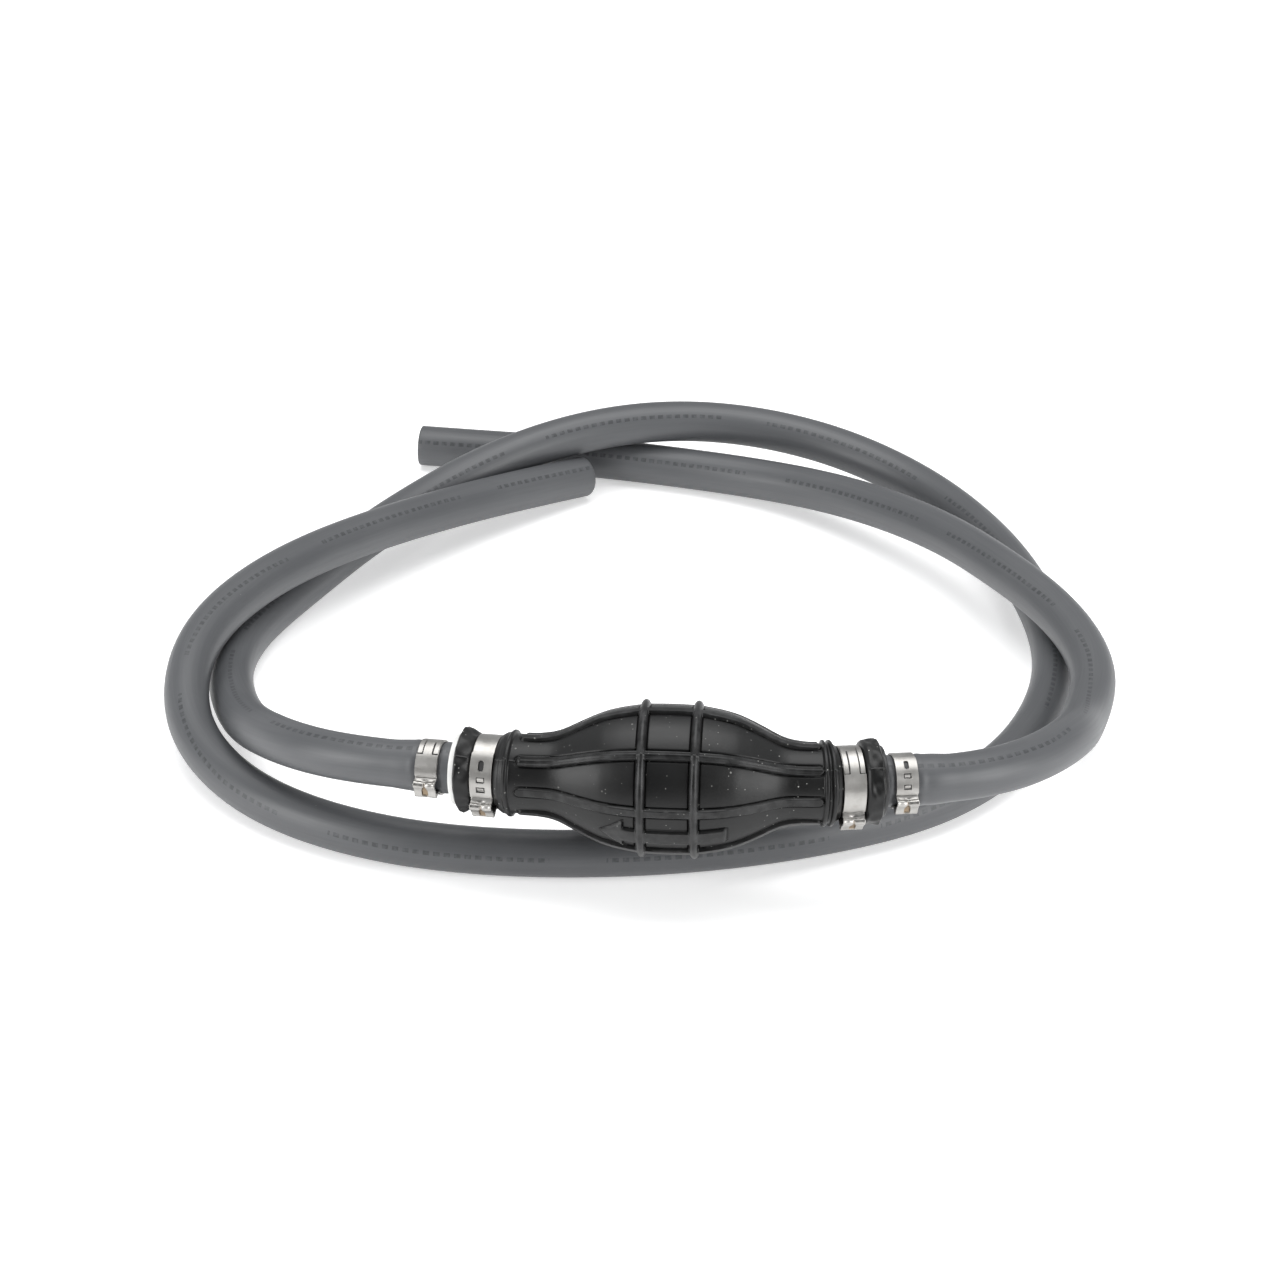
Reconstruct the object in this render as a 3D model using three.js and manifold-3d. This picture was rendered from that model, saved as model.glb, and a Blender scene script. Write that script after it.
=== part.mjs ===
// Fuel-line primer bulb (hand siphon pump) clamped between two lengths of hose.
// Units are millimetres, +Z up. The origin is the centre of the bulb, +X runs along the
// bulb's axis towards the inlet end, and the hoses lie on the plane z = FLOOR_Z.
import * as THREE from 'three';
import { mergeVertices } from 'three/addons/utils/BufferGeometryUtils.js';
import Module from 'manifold-3d';

const wasm = await Module();
wasm.setup();

// ---------------------------------------------------------------- driving dimensions
const FLOOR_Z = -41.6;            // plane that the hoses lie on
const HOSE_OD = 15.9;             // 5/8 in. outside
const HOSE_ID = 9.5;              // 3/8 in. bore
const HOSE_SIDES = 12;
const GAP = 0.3;                  // clearance between touching pieces

const BELLY_R = 24.6;             // bulb skin radius at its middle
const WALL = 3.0;                 // bulb wall thickness at the belly
const RIB_H = 1.1;                // raised ribs on the bulb
const RIB_W = 2.3;
const RING_X = 8.7;               // the two ribs that run round the belly
const LIP_END_LEFT = 68.8, LIP_END_RIGHT = 68.0;   // where the bulb's lips end
const NECK_BORE_R = 10.2;         // bore of each neck
const SEAT_R = 11.3;              // clamp seat on each neck
const LIP_R = 14.25;
const BEND_FROM = 42, BEND_TO = 54, PIVOT = 48;   // each neck bends a little here
const LEFT_YAW = 10, LEFT_DROOP = 3;              // degrees, outlet end
const RIGHT_YAW = 13, RIGHT_DROOP = 3;            // degrees, inlet end

const BULB_CLAMP_LEFT = 59.4, BULB_CLAMP_RIGHT = 58.0, BULB_CLAMP_W = 7.4, BULB_CLAMP_R = SEAT_R + GAP;
const HOSE_CLAMP_LEFT = 78.9, HOSE_CLAMP_RIGHT = 76.0, HOSE_CLAMP_W = 7.4;
const BAND_T = 0.8;

const FLANGE_R = 11.8, FLANGE_LEFT = 70.8, FLANGE_RIGHT = 69.4;
const BODY_FROM = 50.4, BODY_R = NECK_BORE_R - GAP, CHAMBER_R = 7.6, CHAMBER_TO = 66.0;
const BARB_END = 84.6, BARB_R = 4.9, BARB_BORE_R = 3.2;
const HOSE_START_LEFT = 71.1, HOSE_START_RIGHT = 69.7, SLEEVE_R = 8.45, SLEEVE_IN = BARB_R + 0.35;

const PANEL_A = 34, PANEL_B = 15;  // half axes of the squeezed zone of the wall
const SPRING_WIRE = 0.5;

// hose centrelines, from the end of each straight stretch over the barb to the cut end
const LEFT_ROUTE = [
  [-85.37, 6.59, -1.99], [-117.01, 19.41, -6.04], [-139.52, 44.1, -14.41], [-156.13, 81.49, -26.94], [-164.51, 117.27, -31.8],
  [-161.7, 152.25, -33.6], [-148.49, 186.4, -33.41], [-132.2, 219.6, -32.1], [-111.1, 249.2, -28.5], [-84.8, 274.5, -23.37],
  [-53.3, 292.28, -18.54], [-19.1, 303.28, -17.42], [17.3, 307.1, -20.87], [52.6, 297.6, -25.3], [82, 276.5, -29.3],
  [102.7, 246.7, -30.4], [117.5, 212.8, -30.71], [127.59, 177.71, -32.85], [130.49, 141.61, -33.6], [124.4, 105.6, -33.53],
  [109.7, 72.1, -33.6], [85.6, 45, -33.6], [53.7, 26.5, -33.6], [19.4, 14.3, -33.6], [-16.5, 7.1, -33.6],
  [-53.1, 5, -33.6], [-89.5, 8.9, -33.5], [-123.6, 21.5, -33.3], [-152.5, 44, -32.5], [-172.23, 74.3, -27.34],
  [-175.84, 109.62, -19.87], [-165.5, 144.72, -16.84], [-147.72, 176.5, -17.47], [-126.5, 206.1, -20.6], [-103, 234, -24.8],
  [-77.5, 260.2, -29.2], [-50.7, 285, -33.6],
];
const RIGHT_ROUTE = [
  [83.03, 8.09, -1.88], [114.08, 24.81, -4.86], [133.12, 55.9, -11.43], [137.9, 78.64, -18.43], [142.5, 110.38, -19.6],
  [129.69, 156.02, -17.09], [112.3, 186.6, -17.82], [94.2, 215.9, -20.7], [72.8, 242.8, -24.5], [47.7, 266.2, -28.6],
  [18.5, 284.2, -32.14], [-14.1, 295.31, -33.6], [-48, 301.72, -33.6], [-82.4, 305.2, -33.6], [-117.9, 308.5, -33.6],
];
const LEFT_STRAIGHT = 86, RIGHT_STRAIGHT = 84;    // where each route starts, along the end's axis

// ---------------------------------------------------------------- helpers
const rad = (d) => d * Math.PI / 180;
const V = (x, y, z) => new THREE.Vector3(x, y, z);

function toManifold(geometry) {
  let g = geometry.index ? geometry.toNonIndexed() : geometry.clone();
  g.deleteAttribute('normal');
  g.deleteAttribute('uv');
  g = mergeVertices(g, 1e-4);
  const pos = g.attributes.position.array, idx = Array.from(g.index.array);
  const tri = [];
  for (let i = 0; i < idx.length; i += 3) {
    const [a, b, c] = [idx[i], idx[i + 1], idx[i + 2]];
    if (a !== b && b !== c && a !== c) tri.push(a, b, c);
  }
  const m = new wasm.Manifold(new wasm.Mesh({ numProp: 3, vertProperties: new Float32Array(pos), triVerts: new Uint32Array(tri) }));
  if (m.status() !== 'NoError' && m.status() !== 0 && m.status().value) throw new Error('not a closed solid: ' + m.status());
  return m;
}
function toGeometry(m) {
  const r = m.getMesh();
  const g = new THREE.BufferGeometry();
  g.setAttribute('position', new THREE.BufferAttribute(new Float32Array(r.vertProperties), 3));
  g.setIndex(new THREE.BufferAttribute(new Uint32Array(r.triVerts), 1));
  g.computeVertexNormals();
  return g;
}
// a closed profile of [u, r] points turned about the +X axis
function turned(profile, segments = 24) {
  const pts = profile.map(([u, r]) => new THREE.Vector2(r, u));
  const first = pts[0], last = pts[pts.length - 1];
  if (first.distanceTo(last) > 1e-9) pts.push(first.clone());
  let area = 0;
  for (let i = 0; i < pts.length - 1; i++) area += pts[i].x * pts[i + 1].y - pts[i + 1].x * pts[i].y;
  if (area < 0) pts.reverse();
  const g = new THREE.LatheGeometry(pts, segments);
  g.rotateZ(-Math.PI / 2);
  const m = toManifold(g);
  return m.volume() < 0 ? toManifold(flip(g)) : m;
}
function flip(g) {
  const n = g.toNonIndexed(), p = n.attributes.position.array;
  for (let i = 0; i < p.length; i += 9) for (let k = 0; k < 3; k++) { const t = p[i + 3 + k]; p[i + 3 + k] = p[i + 6 + k]; p[i + 6 + k] = t; }
  return n;
}
function solid(g) {
  const m = toManifold(g);
  return m.volume() < 0 ? toManifold(flip(g)) : m;
}
function boxAt(cx, cy, cz, sx, sy, sz) {
  const g = new THREE.BoxGeometry(sx, sy, sz);
  g.translate(cx, cy, cz);
  return solid(g);
}
// natural cubic spline through points, with a set direction at its first point
class SplineCurve extends THREE.Curve {
  constructor(points, startDir) {
    super();
    const n = points.length, h = [], s = [0];
    for (let i = 0; i < n - 1; i++) { h.push(points[i].distanceTo(points[i + 1])); s.push(s[i] + h[i]); }
    this.P = points; this.h = h; this.s = s; this.K = [];
    const solve = (get, d0) => {
      const a = new Array(n).fill(0), b = new Array(n).fill(1), c = new Array(n).fill(0), r = new Array(n).fill(0);
      b[0] = 2 * h[0]; c[0] = h[0]; r[0] = 6 * ((get(points[1]) - get(points[0])) / h[0] - d0);
      for (let i = 1; i < n - 1; i++) {
        a[i] = h[i - 1]; b[i] = 2 * (h[i - 1] + h[i]); c[i] = h[i];
        r[i] = 6 * ((get(points[i + 1]) - get(points[i])) / h[i] - (get(points[i]) - get(points[i - 1])) / h[i - 1]);
      }
      for (let i = 1; i < n; i++) { const w = a[i] / b[i - 1]; b[i] -= w * c[i - 1]; r[i] -= w * r[i - 1]; }
      const k = new Array(n).fill(0); k[n - 1] = r[n - 1] / b[n - 1];
      for (let i = n - 2; i >= 0; i--) k[i] = (r[i] - c[i] * k[i + 1]) / b[i];
      return k;
    };
    this.K = ['x', 'y', 'z'].map((ax) => solve((p) => p[ax], startDir[ax]));
  }
  getPoint(t, target = new THREE.Vector3()) {
    const { s, h, P, K } = this, L = s[s.length - 1], x = Math.min(Math.max(t, 0), 1) * L;
    let i = 0; while (i < h.length - 1 && x > s[i + 1]) i++;
    const a = s[i + 1] - x, b = x - s[i], q = h[i];
    const f = (k, ax) => K[k][i] * a ** 3 / (6 * q) + K[k][i + 1] * b ** 3 / (6 * q) + (P[i][ax] / q - K[k][i] * q / 6) * a + (P[i + 1][ax] / q - K[k][i + 1] * q / 6) * b;
    return target.set(f(0, 'x'), f(1, 'y'), f(2, 'z'));
  }
}

// ---------------------------------------------------------------- the two end frames
// u runs outwards along each end's own axis; u = PIVOT is at x = +-PIVOT on the bulb's axis.
function endFrame(side, yaw, droop) {
  const d = V(side * Math.cos(rad(yaw)) * Math.cos(rad(droop)), Math.sin(rad(yaw)) * Math.cos(rad(droop)), -Math.sin(rad(droop)));
  const y = V(0, 0, 1).cross(d).normalize(), z = d.clone().cross(y);
  const rot = new THREE.Matrix4().makeBasis(d, y, z);
  const pos = V(side * PIVOT, 0, 0).addScaledVector(d, -PIVOT);
  return { side, d, y, z, matrix: rot.clone().setPosition(pos), at: (u) => pos.clone().addScaledVector(d, u), quat: new THREE.Quaternion().setFromRotationMatrix(rot), pos };
}
const LEFT = endFrame(-1, LEFT_YAW, LEFT_DROOP);
const RIGHT = endFrame(1, RIGHT_YAW, RIGHT_DROOP);
// angle in an end's own cross-section of a direction given by alpha (from -Y towards +Z)
function localAngle(end, alphaDeg) {
  const w = V(0, -Math.cos(rad(alphaDeg)), Math.sin(rad(alphaDeg)));
  return Math.atan2(w.dot(end.z), w.dot(end.y));
}

// ---------------------------------------------------------------- bulb
const SKIN = [[0, BELLY_R], [RING_X - 1.6, 24.45], [RING_X - 0.9, 26.2], [RING_X + 0.9, 26.2], [RING_X + 1.6, 24.05], [15, 23.2], [21, 21.6], [26, 19.6], [33, 15.9], [36.5, 14.1], [40, 13.2], [44, 13.1], [47, 13.1]];
const NECK_RIGHT = [[48.9, 13.1], [49.2, 14.3], [50.0, 14.3], [50.4, 13.0], [51.1, 13.0], [51.4, 14.2], [52.3, 14.2], [52.7, 13.2], [53.9, 12.2], [54.1, SEAT_R],
  [61.9, SEAT_R], [62.2, 12.9], [63.0, 13.7], [66.6, 14.2], [67.3, LIP_R], [LIP_END_RIGHT, 12.7]];
const NECK_LEFT = [[50.8, 13.1], [51.1, 14.3], [51.9, 14.3], [52.3, 13.7], [54.4, 12.9], [55.4, 12.0], [55.6, SEAT_R],
  [63.2, SEAT_R], [63.5, 12.0], [64.3, 12.5], [67.3, 14.0], [68.0, LIP_R], [LIP_END_LEFT, 12.7]];
const innerSkin = (end) => [[end, NECK_BORE_R], [54, NECK_BORE_R], [50.5, NECK_BORE_R], [47, NECK_BORE_R], [43, NECK_BORE_R], [39, 10.3], [33, 12.9], [25, 17.0], [15, 20.4], [0, BELLY_R - WALL]];
function bulbStraight() {
  const right = [...SKIN, ...NECK_RIGHT, ...innerSkin(LIP_END_RIGHT)];
  const left = [...SKIN, ...NECK_LEFT, ...innerSkin(LIP_END_LEFT)].map(([u, r]) => [-u, r]);
  const half = right.slice(1, right.length - 1), halfL = left.slice(1, left.length - 1).reverse();
  let body = turned([[0, BELLY_R], ...half, [0, BELLY_R - WALL], ...halfL], 24);
  // eight ribs along the bulb, one every 45 degrees, with rounded ends on the necks
  const ribSkin = SKIN.filter(([u]) => u < 6 || u > 12).map(([u, r]) => [u, r + RIB_H]);
  const top = [[0, BELLY_R + RIB_H], ...ribSkin.slice(1, -1), [46.6, 13.9], [48.4, 13.25]];
  const shape = new THREE.Shape();
  const outer = [...top.slice().reverse().map(([u, r]) => [-u, r]), ...top.slice(1)];
  const inner = [[48.4, 12.2], [39, 12.3], [33, 14.8], [25, 18.8], [15, 22.1], [0, 23.2]];
  const innerAll = [...inner, ...inner.slice(0, -1).reverse().map(([u, r]) => [-u, r])];
  outer.concat(innerAll).forEach(([u, r], i) => (i ? shape.lineTo(u, r) : shape.moveTo(u, r)));
  shape.closePath();
  for (let k = 0; k < 8; k++) {
    const g = new THREE.ExtrudeGeometry(shape, { depth: RIB_W, bevelEnabled: false });
    g.translate(0, 0, -RIB_W / 2);
    g.rotateX(rad(45 * k));
    body = body.add(solid(g));
  }
  return body;
}
// bend each neck towards its end's own axis
function bendPoint(p) {
  const side = p.x < 0 ? -1 : 1, s = Math.abs(p.x), end = side < 0 ? LEFT : RIGHT;
  if (s <= BEND_FROM) return p;
  const x = V(side, 0, 0), k = x.clone().cross(end.d).normalize(), full = x.angleTo(end.d), R = (BEND_TO - BEND_FROM) / full;
  const n = k.clone().cross(x);              // in the bend plane, towards the end's axis
  const th = full * Math.min((s - BEND_FROM) / (BEND_TO - BEND_FROM), 1);
  const c = V(side * BEND_FROM, 0, 0).addScaledVector(x, R * Math.sin(th)).addScaledVector(n, R * (1 - Math.cos(th)));
  if (s > BEND_TO) c.addScaledVector(end.d, s - BEND_TO);
  return c.add(V(0, p.y, p.z).applyAxisAngle(k, th));
}
const bulb = bulbStraight();

// squeezed zones: an oval of the wall above-behind and one below-in-front
const M = V(0, Math.SQRT1_2, Math.SQRT1_2);   // middle of the upper zone
function ovalPrism(a, b, from, to) {
  const s = new THREE.Shape();
  s.absellipse(0, 0, a, b, 0, Math.PI * 2);
  const g = new THREE.ExtrudeGeometry(s, { depth: to - from, bevelEnabled: false, curveSegments: 14 });
  g.translate(0, 0, from);
  const y = V(0, Math.SQRT1_2, -Math.SQRT1_2);
  g.applyMatrix4(new THREE.Matrix4().makeBasis(V(1, 0, 0), y.clone(), M.clone()));
  return g;
}
const upperWindow = solid(ovalPrism(PANEL_A + GAP, PANEL_B + GAP, 4, 30));
const lowerWindow = solid(ovalPrism(PANEL_A + GAP, PANEL_B + GAP, -30, -4));
const bulbBody = bulb.subtract(upperWindow).subtract(lowerWindow);
const upperWall = bulb.intersect(solid(ovalPrism(PANEL_A, PANEL_B, 4, 30)));
const lowerWall = bulb.intersect(solid(ovalPrism(PANEL_A, PANEL_B, -30, -4)));
function bent(m) {
  const g = toGeometry(m), p = g.attributes.position;
  for (let i = 0; i < p.count; i++) {
    const q = bendPoint(V(p.getX(i), p.getY(i), p.getZ(i)));
    p.setXYZ(i, q.x, q.y, q.z);
  }
  g.computeVertexNormals();
  return g;
}

// ---------------------------------------------------------------- end fittings and valves (in u, r)
function fitting(lipEnd, flangeTo) {
  const flangeFrom = lipEnd + GAP;
  return turned([
    [BODY_FROM, CHAMBER_R], [BODY_FROM, BODY_R], [flangeFrom, BODY_R], [flangeFrom, FLANGE_R - 0.2], [flangeFrom + 0.3, FLANGE_R],
    [flangeTo - 0.3, FLANGE_R], [flangeTo, FLANGE_R - 0.3], [flangeTo, 4.6], [74.6, BARB_R], [75.8, 4.6], [78.4, BARB_R], [79.6, 4.6], [82.2, BARB_R], [BARB_END, 4.2],
    [BARB_END, BARB_BORE_R], [CHAMBER_TO, BARB_BORE_R], [CHAMBER_TO, CHAMBER_R],
  ], 24);
}
const ringPiece = (u0, u1, r0, r1, seg = 20) => turned([[u0, r0], [u0, r1], [u1, r1], [u1, r0]], seg);
function spokes(u0, u1, r0, r1, w, count) {
  let m = null;
  for (let k = 0; k < count; k++) {
    const g = new THREE.BoxGeometry(u1 - u0, r1 - r0, w);
    g.translate((u0 + u1) / 2, (r0 + r1) / 2, 0);
    g.rotateX(2 * Math.PI * k / count);
    m = m ? m.add(solid(g)) : solid(g);
  }
  return m;
}
function coil(u0, u1, r, turns) {
  class Helix extends THREE.Curve {
    getPoint(t, o = new THREE.Vector3()) { const a = 2 * Math.PI * turns * t; return o.set(u0 + (u1 - u0) * t, r * Math.cos(a), r * Math.sin(a)); }
  }
  const s = new THREE.Shape(), w = SPRING_WIRE / 2;
  for (let i = 0; i < 6; i++) { const a = Math.PI * i / 3; i ? s.lineTo(w * Math.cos(a), w * Math.sin(a)) : s.moveTo(w, 0); }
  s.closePath();
  return solid(new THREE.ExtrudeGeometry(s, { steps: Math.round(turns * 10), bevelEnabled: false, extrudePath: new Helix() }));
}
// inlet valve: opens towards the bulb
const inletSeal = ringPiece(64.2, CHAMBER_TO - GAP, 3.7, 6.8);
const inletPoppet = turned([[50.4, 0], [50.4, 1.0], [50.8, 1.25], [62.4, 1.25], [62.4, 5.4], [62.8, 5.7], [63.9, 5.7], [63.9, 0]], 20);
const inletSpring = coil(53.75, 61.85, 2.6, 4);
const inletRetainer = ringPiece(51.2, 53.2, 6.2, CHAMBER_R - GAP).add(ringPiece(51.2, 53.2, 1.6, 3.3)).add(spokes(51.2, 53.2, 2.6, 6.8, 1.4, 3).subtract(turned([[50, 0], [50, 1.6], [54, 1.6], [54, 0]], 20)));
// outlet valve: opens towards the hose
const outletSeat = ringPiece(50.6, 53.0, 3.6, CHAMBER_R - GAP);
const outletSeal = ringPiece(53.3, 54.8, 3.7, 6.8);
const outletPoppet = turned([[55.1, 0], [55.1, 5.7], [56.2, 5.7], [56.6, 5.4], [56.6, 0]], 20).add(spokes(55.6, 59.4, 4.9, 7.1, 1.0, 4));
const outletSpring = coil(57.15, 65.4, 4.1, 4);

// ---------------------------------------------------------------- ear clamps
function clamp(end, u, width, rIn, alphaDeg, half, tall) {
  const rOut = rIn + BAND_T, ear = rOut + tall, th0 = localAngle(end, alphaDeg);
  const pol = (r, a) => [r * Math.cos(a), r * Math.sin(a)];
  const rot = ([x, y]) => { const c = Math.cos(th0), s = Math.sin(th0); return [x * c - y * s, x * s + y * c]; };
  const N = 28, outer = [], inner = [];
  const aOut = Math.asin(half / rOut), aIn = Math.asin((half - BAND_T) / rIn);
  for (let i = 0; i <= N; i++) outer.push(pol(rOut, aOut + (2 * Math.PI - 2 * aOut) * i / N));
  outer.push([ear - 0.9, -half], [ear, -half + 0.9], [ear - 0.25, 0], [ear, half - 0.9], [ear - 0.9, half]);
  for (let i = 0; i <= N; i++) inner.push(pol(rIn, aIn + (2 * Math.PI - 2 * aIn) * i / N));
  inner.push([ear - BAND_T - 0.6, -(half - BAND_T)], [ear - BAND_T, -(half - BAND_T) + 0.6], [ear - BAND_T - 0.25, 0], [ear - BAND_T, half - BAND_T - 0.6], [ear - BAND_T - 0.6, half - BAND_T]);
  const s = new THREE.Shape(), h = new THREE.Path();
  outer.map(rot).forEach(([x, y], i) => (i ? s.lineTo(x, y) : s.moveTo(x, y))); s.closePath();
  inner.map(rot).forEach(([x, y], i) => (i ? h.lineTo(x, y) : h.moveTo(x, y))); h.closePath();
  s.holes.push(h);
  const g = new THREE.ExtrudeGeometry(s, { depth: width, bevelEnabled: false });
  // shape x, y -> local y, z; depth -> local x
  g.applyMatrix4(new THREE.Matrix4().makeBasis(V(0, 1, 0), V(0, 0, 1), V(1, 0, 0)));
  g.translate(u - width / 2, 0, 0);
  return solid(g);
}

// ---------------------------------------------------------------- hoses
function hose(end, route, start, steps) {
  const pts = route.map(([x, y, z]) => V(x, y, z));
  pts[0] = end.at(start);
  const curve = new SplineCurve(pts, end.d);
  const s = new THREE.Shape(), h = new THREE.Path();
  const k = 1 / Math.cos(Math.PI / HOSE_SIDES) ** 0.5;   // keeps the polygon's mean radius true
  for (let i = 0; i < HOSE_SIDES; i++) {
    const a = 2 * Math.PI * i / HOSE_SIDES, x = Math.cos(a) * k, y = Math.sin(a) * k;
    i ? s.lineTo(x * HOSE_OD / 2, y * HOSE_OD / 2) : s.moveTo(x * HOSE_OD / 2, y * HOSE_OD / 2);
    i ? h.lineTo(x * HOSE_ID / 2, y * HOSE_ID / 2) : h.moveTo(x * HOSE_ID / 2, y * HOSE_ID / 2);
  }
  s.closePath(); h.closePath(); s.holes.push(h);
  const tube = solid(new THREE.ExtrudeGeometry(s, { steps, bevelEnabled: false, extrudePath: curve }));
  const from = end === LEFT ? HOSE_START_LEFT : HOSE_START_RIGHT;
  const sleeve = turned([[from, SLEEVE_IN], [from, SLEEVE_R], [start, SLEEVE_R], [start + 1.5, 7.7], [start + 1.5, 5.0], [start + 0.9, SLEEVE_IN]], 16);
  const placed = solid(toGeometry(sleeve).applyMatrix4(end.matrix));
  return tube.add(placed);
}

// ---------------------------------------------------------------- materials
const M_RUBBER = () => new THREE.MeshStandardMaterial({ color: 0x17181a, roughness: 0.55, metalness: 0.0 });
const M_HOSE = () => new THREE.MeshStandardMaterial({ color: 0x696b6e, roughness: 0.45, metalness: 0.0 });
const M_STEEL = () => new THREE.MeshStandardMaterial({ color: 0xc9c7c2, roughness: 0.3, metalness: 1.0 });
const M_WHITE = () => new THREE.MeshStandardMaterial({ color: 0xe9e9e6, roughness: 0.4, metalness: 0.0 });
const M_BLACK = () => new THREE.MeshStandardMaterial({ color: 0x1d1e20, roughness: 0.45, metalness: 0.0 });
const M_SEAL = () => new THREE.MeshStandardMaterial({ color: 0x2a2a2c, roughness: 0.7, metalness: 0.0 });

const part = new THREE.Group();
function add(parent, name, geometry, material) {
  const m = new THREE.Mesh(geometry, material);
  m.name = name;
  parent.add(m);
  return m;
}
function endGroup(end) {
  const g = new THREE.Group();
  g.position.copy(end.pos);
  g.quaternion.copy(end.quat);
  part.add(g);
  return g;
}

add(part, 'bulb_body', bent(bulbBody), M_RUBBER());
add(part, 'bulb_wall_upper', toGeometry(upperWall), M_RUBBER());
add(part, 'bulb_wall_lower', toGeometry(lowerWall), M_RUBBER());

const L = endGroup(LEFT), R = endGroup(RIGHT);
add(L, 'outlet_fitting', toGeometry(fitting(LIP_END_LEFT, FLANGE_LEFT)), M_WHITE());
add(L, 'outlet_valve_seat', toGeometry(outletSeat), M_BLACK());
add(L, 'outlet_valve_seal', toGeometry(outletSeal), M_SEAL());
add(L, 'outlet_valve_poppet', toGeometry(outletPoppet), M_BLACK());
add(L, 'outlet_valve_spring', toGeometry(outletSpring), M_STEEL());
add(L, 'bulb_clamp_left', toGeometry(clamp(LEFT, BULB_CLAMP_LEFT, BULB_CLAMP_W, BULB_CLAMP_R, -32, 3.1, 3.4)), M_STEEL());
add(L, 'hose_clamp_left', toGeometry(clamp(LEFT, HOSE_CLAMP_LEFT, HOSE_CLAMP_W, SLEEVE_R + GAP, -13, 2.8, 3.0)), M_STEEL());

add(R, 'inlet_fitting', toGeometry(fitting(LIP_END_RIGHT, FLANGE_RIGHT)), M_BLACK());
add(R, 'inlet_valve_seal', toGeometry(inletSeal), M_SEAL());
add(R, 'inlet_valve_poppet', toGeometry(inletPoppet), M_WHITE());
add(R, 'inlet_valve_spring', toGeometry(inletSpring), M_STEEL());
add(R, 'inlet_valve_retainer', toGeometry(inletRetainer), M_BLACK());
add(R, 'bulb_clamp_right', toGeometry(clamp(RIGHT, BULB_CLAMP_RIGHT, BULB_CLAMP_W, BULB_CLAMP_R, -38, 3.1, 3.4)), M_STEEL());
add(R, 'hose_clamp_right', toGeometry(clamp(RIGHT, HOSE_CLAMP_RIGHT, HOSE_CLAMP_W, SLEEVE_R + GAP, -21, 2.8, 3.0)), M_STEEL());

add(part, 'hose_left', toGeometry(hose(LEFT, LEFT_ROUTE, LEFT_STRAIGHT, 44)), M_HOSE());
add(part, 'hose_right', toGeometry(hose(RIGHT, RIGHT_ROUTE, RIGHT_STRAIGHT, 17)), M_HOSE());

export default part;
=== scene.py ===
import math

import bmesh
import bpy
import numpy as np
from mathutils import Matrix, Vector


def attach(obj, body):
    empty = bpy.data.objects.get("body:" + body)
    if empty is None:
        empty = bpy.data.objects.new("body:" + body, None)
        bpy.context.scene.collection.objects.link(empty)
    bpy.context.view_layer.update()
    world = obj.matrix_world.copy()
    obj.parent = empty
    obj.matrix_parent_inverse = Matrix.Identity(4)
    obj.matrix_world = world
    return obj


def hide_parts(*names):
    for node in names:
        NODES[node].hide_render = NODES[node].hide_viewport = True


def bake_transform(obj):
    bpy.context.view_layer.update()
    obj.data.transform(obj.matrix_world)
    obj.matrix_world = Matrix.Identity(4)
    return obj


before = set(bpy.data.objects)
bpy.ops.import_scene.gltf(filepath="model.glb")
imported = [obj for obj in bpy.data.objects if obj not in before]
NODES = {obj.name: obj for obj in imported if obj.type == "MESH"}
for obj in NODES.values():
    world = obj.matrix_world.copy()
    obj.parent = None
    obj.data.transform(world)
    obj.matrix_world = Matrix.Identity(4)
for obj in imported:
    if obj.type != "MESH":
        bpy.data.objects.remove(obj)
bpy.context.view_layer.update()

MM = 0.001
scene = bpy.context.scene
rng = np.random.default_rng(11)

# which valve sits at which end
LEFT_FITTING, RIGHT_FITTING = "outlet_fitting", "inlet_fitting"
if LEFT_FITTING not in NODES or RIGHT_FITTING not in NODES:
    raise RuntimeError("the fittings are not named as expected")

# ------------------------------------------------------------------ camera
cam = bpy.data.cameras.new("camera")
cam.sensor_fit = "HORIZONTAL"
cam.sensor_width = 36.0
cam.lens = 3900.0 * 36.0 / 1280.0
cam.clip_start, cam.clip_end = 0.05, 30.0
cam_obj = bpy.data.objects.new("camera", cam)
scene.collection.objects.link(cam_obj)
_f = Vector((-0.05644, 0.87280, -0.48481)).normalized()
_r = _f.cross(Vector((0, 0, 1))).normalized()
_u = _r.cross(_f)
cam_obj.matrix_world = Matrix((
    (_r.x, _u.x, -_f.x, 0.060567),
    (_r.y, _u.y, -_f.y, -1.091038),
    (_r.z, _u.z, -_f.z, 0.657500),
    (0, 0, 0, 1)))
scene.camera = cam_obj
scene.view_settings.view_transform = "Standard"

# ------------------------------------------------------------------ the two end frames (mm)
def rad(d):
    return d * math.pi / 180.0


class End:
    def __init__(self, side, yaw, droop):
        self.side = side
        self.d = np.array([side * math.cos(rad(yaw)) * math.cos(rad(droop)),
                           math.sin(rad(yaw)) * math.cos(rad(droop)), -math.sin(rad(droop))])
        y = np.cross([0, 0, 1.0], self.d)
        self.y = y / np.linalg.norm(y)
        self.z = np.cross(self.d, self.y)
        self.pos = np.array([side * 48.0, 0, 0]) - 48.0 * self.d

    def at(self, u):
        return self.pos + self.d * u

    def place(self, p):
        p = np.asarray(p, float)
        return self.pos + p[..., 0:1] * self.d + p[..., 1:2] * self.y + p[..., 2:3] * self.z

    def angle(self, alpha):
        """angle in this end's own cross-section of a direction alpha degrees from -Y towards +Z"""
        w = np.array([0, -math.cos(rad(alpha)), math.sin(rad(alpha))])
        return math.atan2(w @ self.z, w @ self.y)


LEFT, RIGHT = End(-1, 10, 3), End(1, 13, 3)
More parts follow.
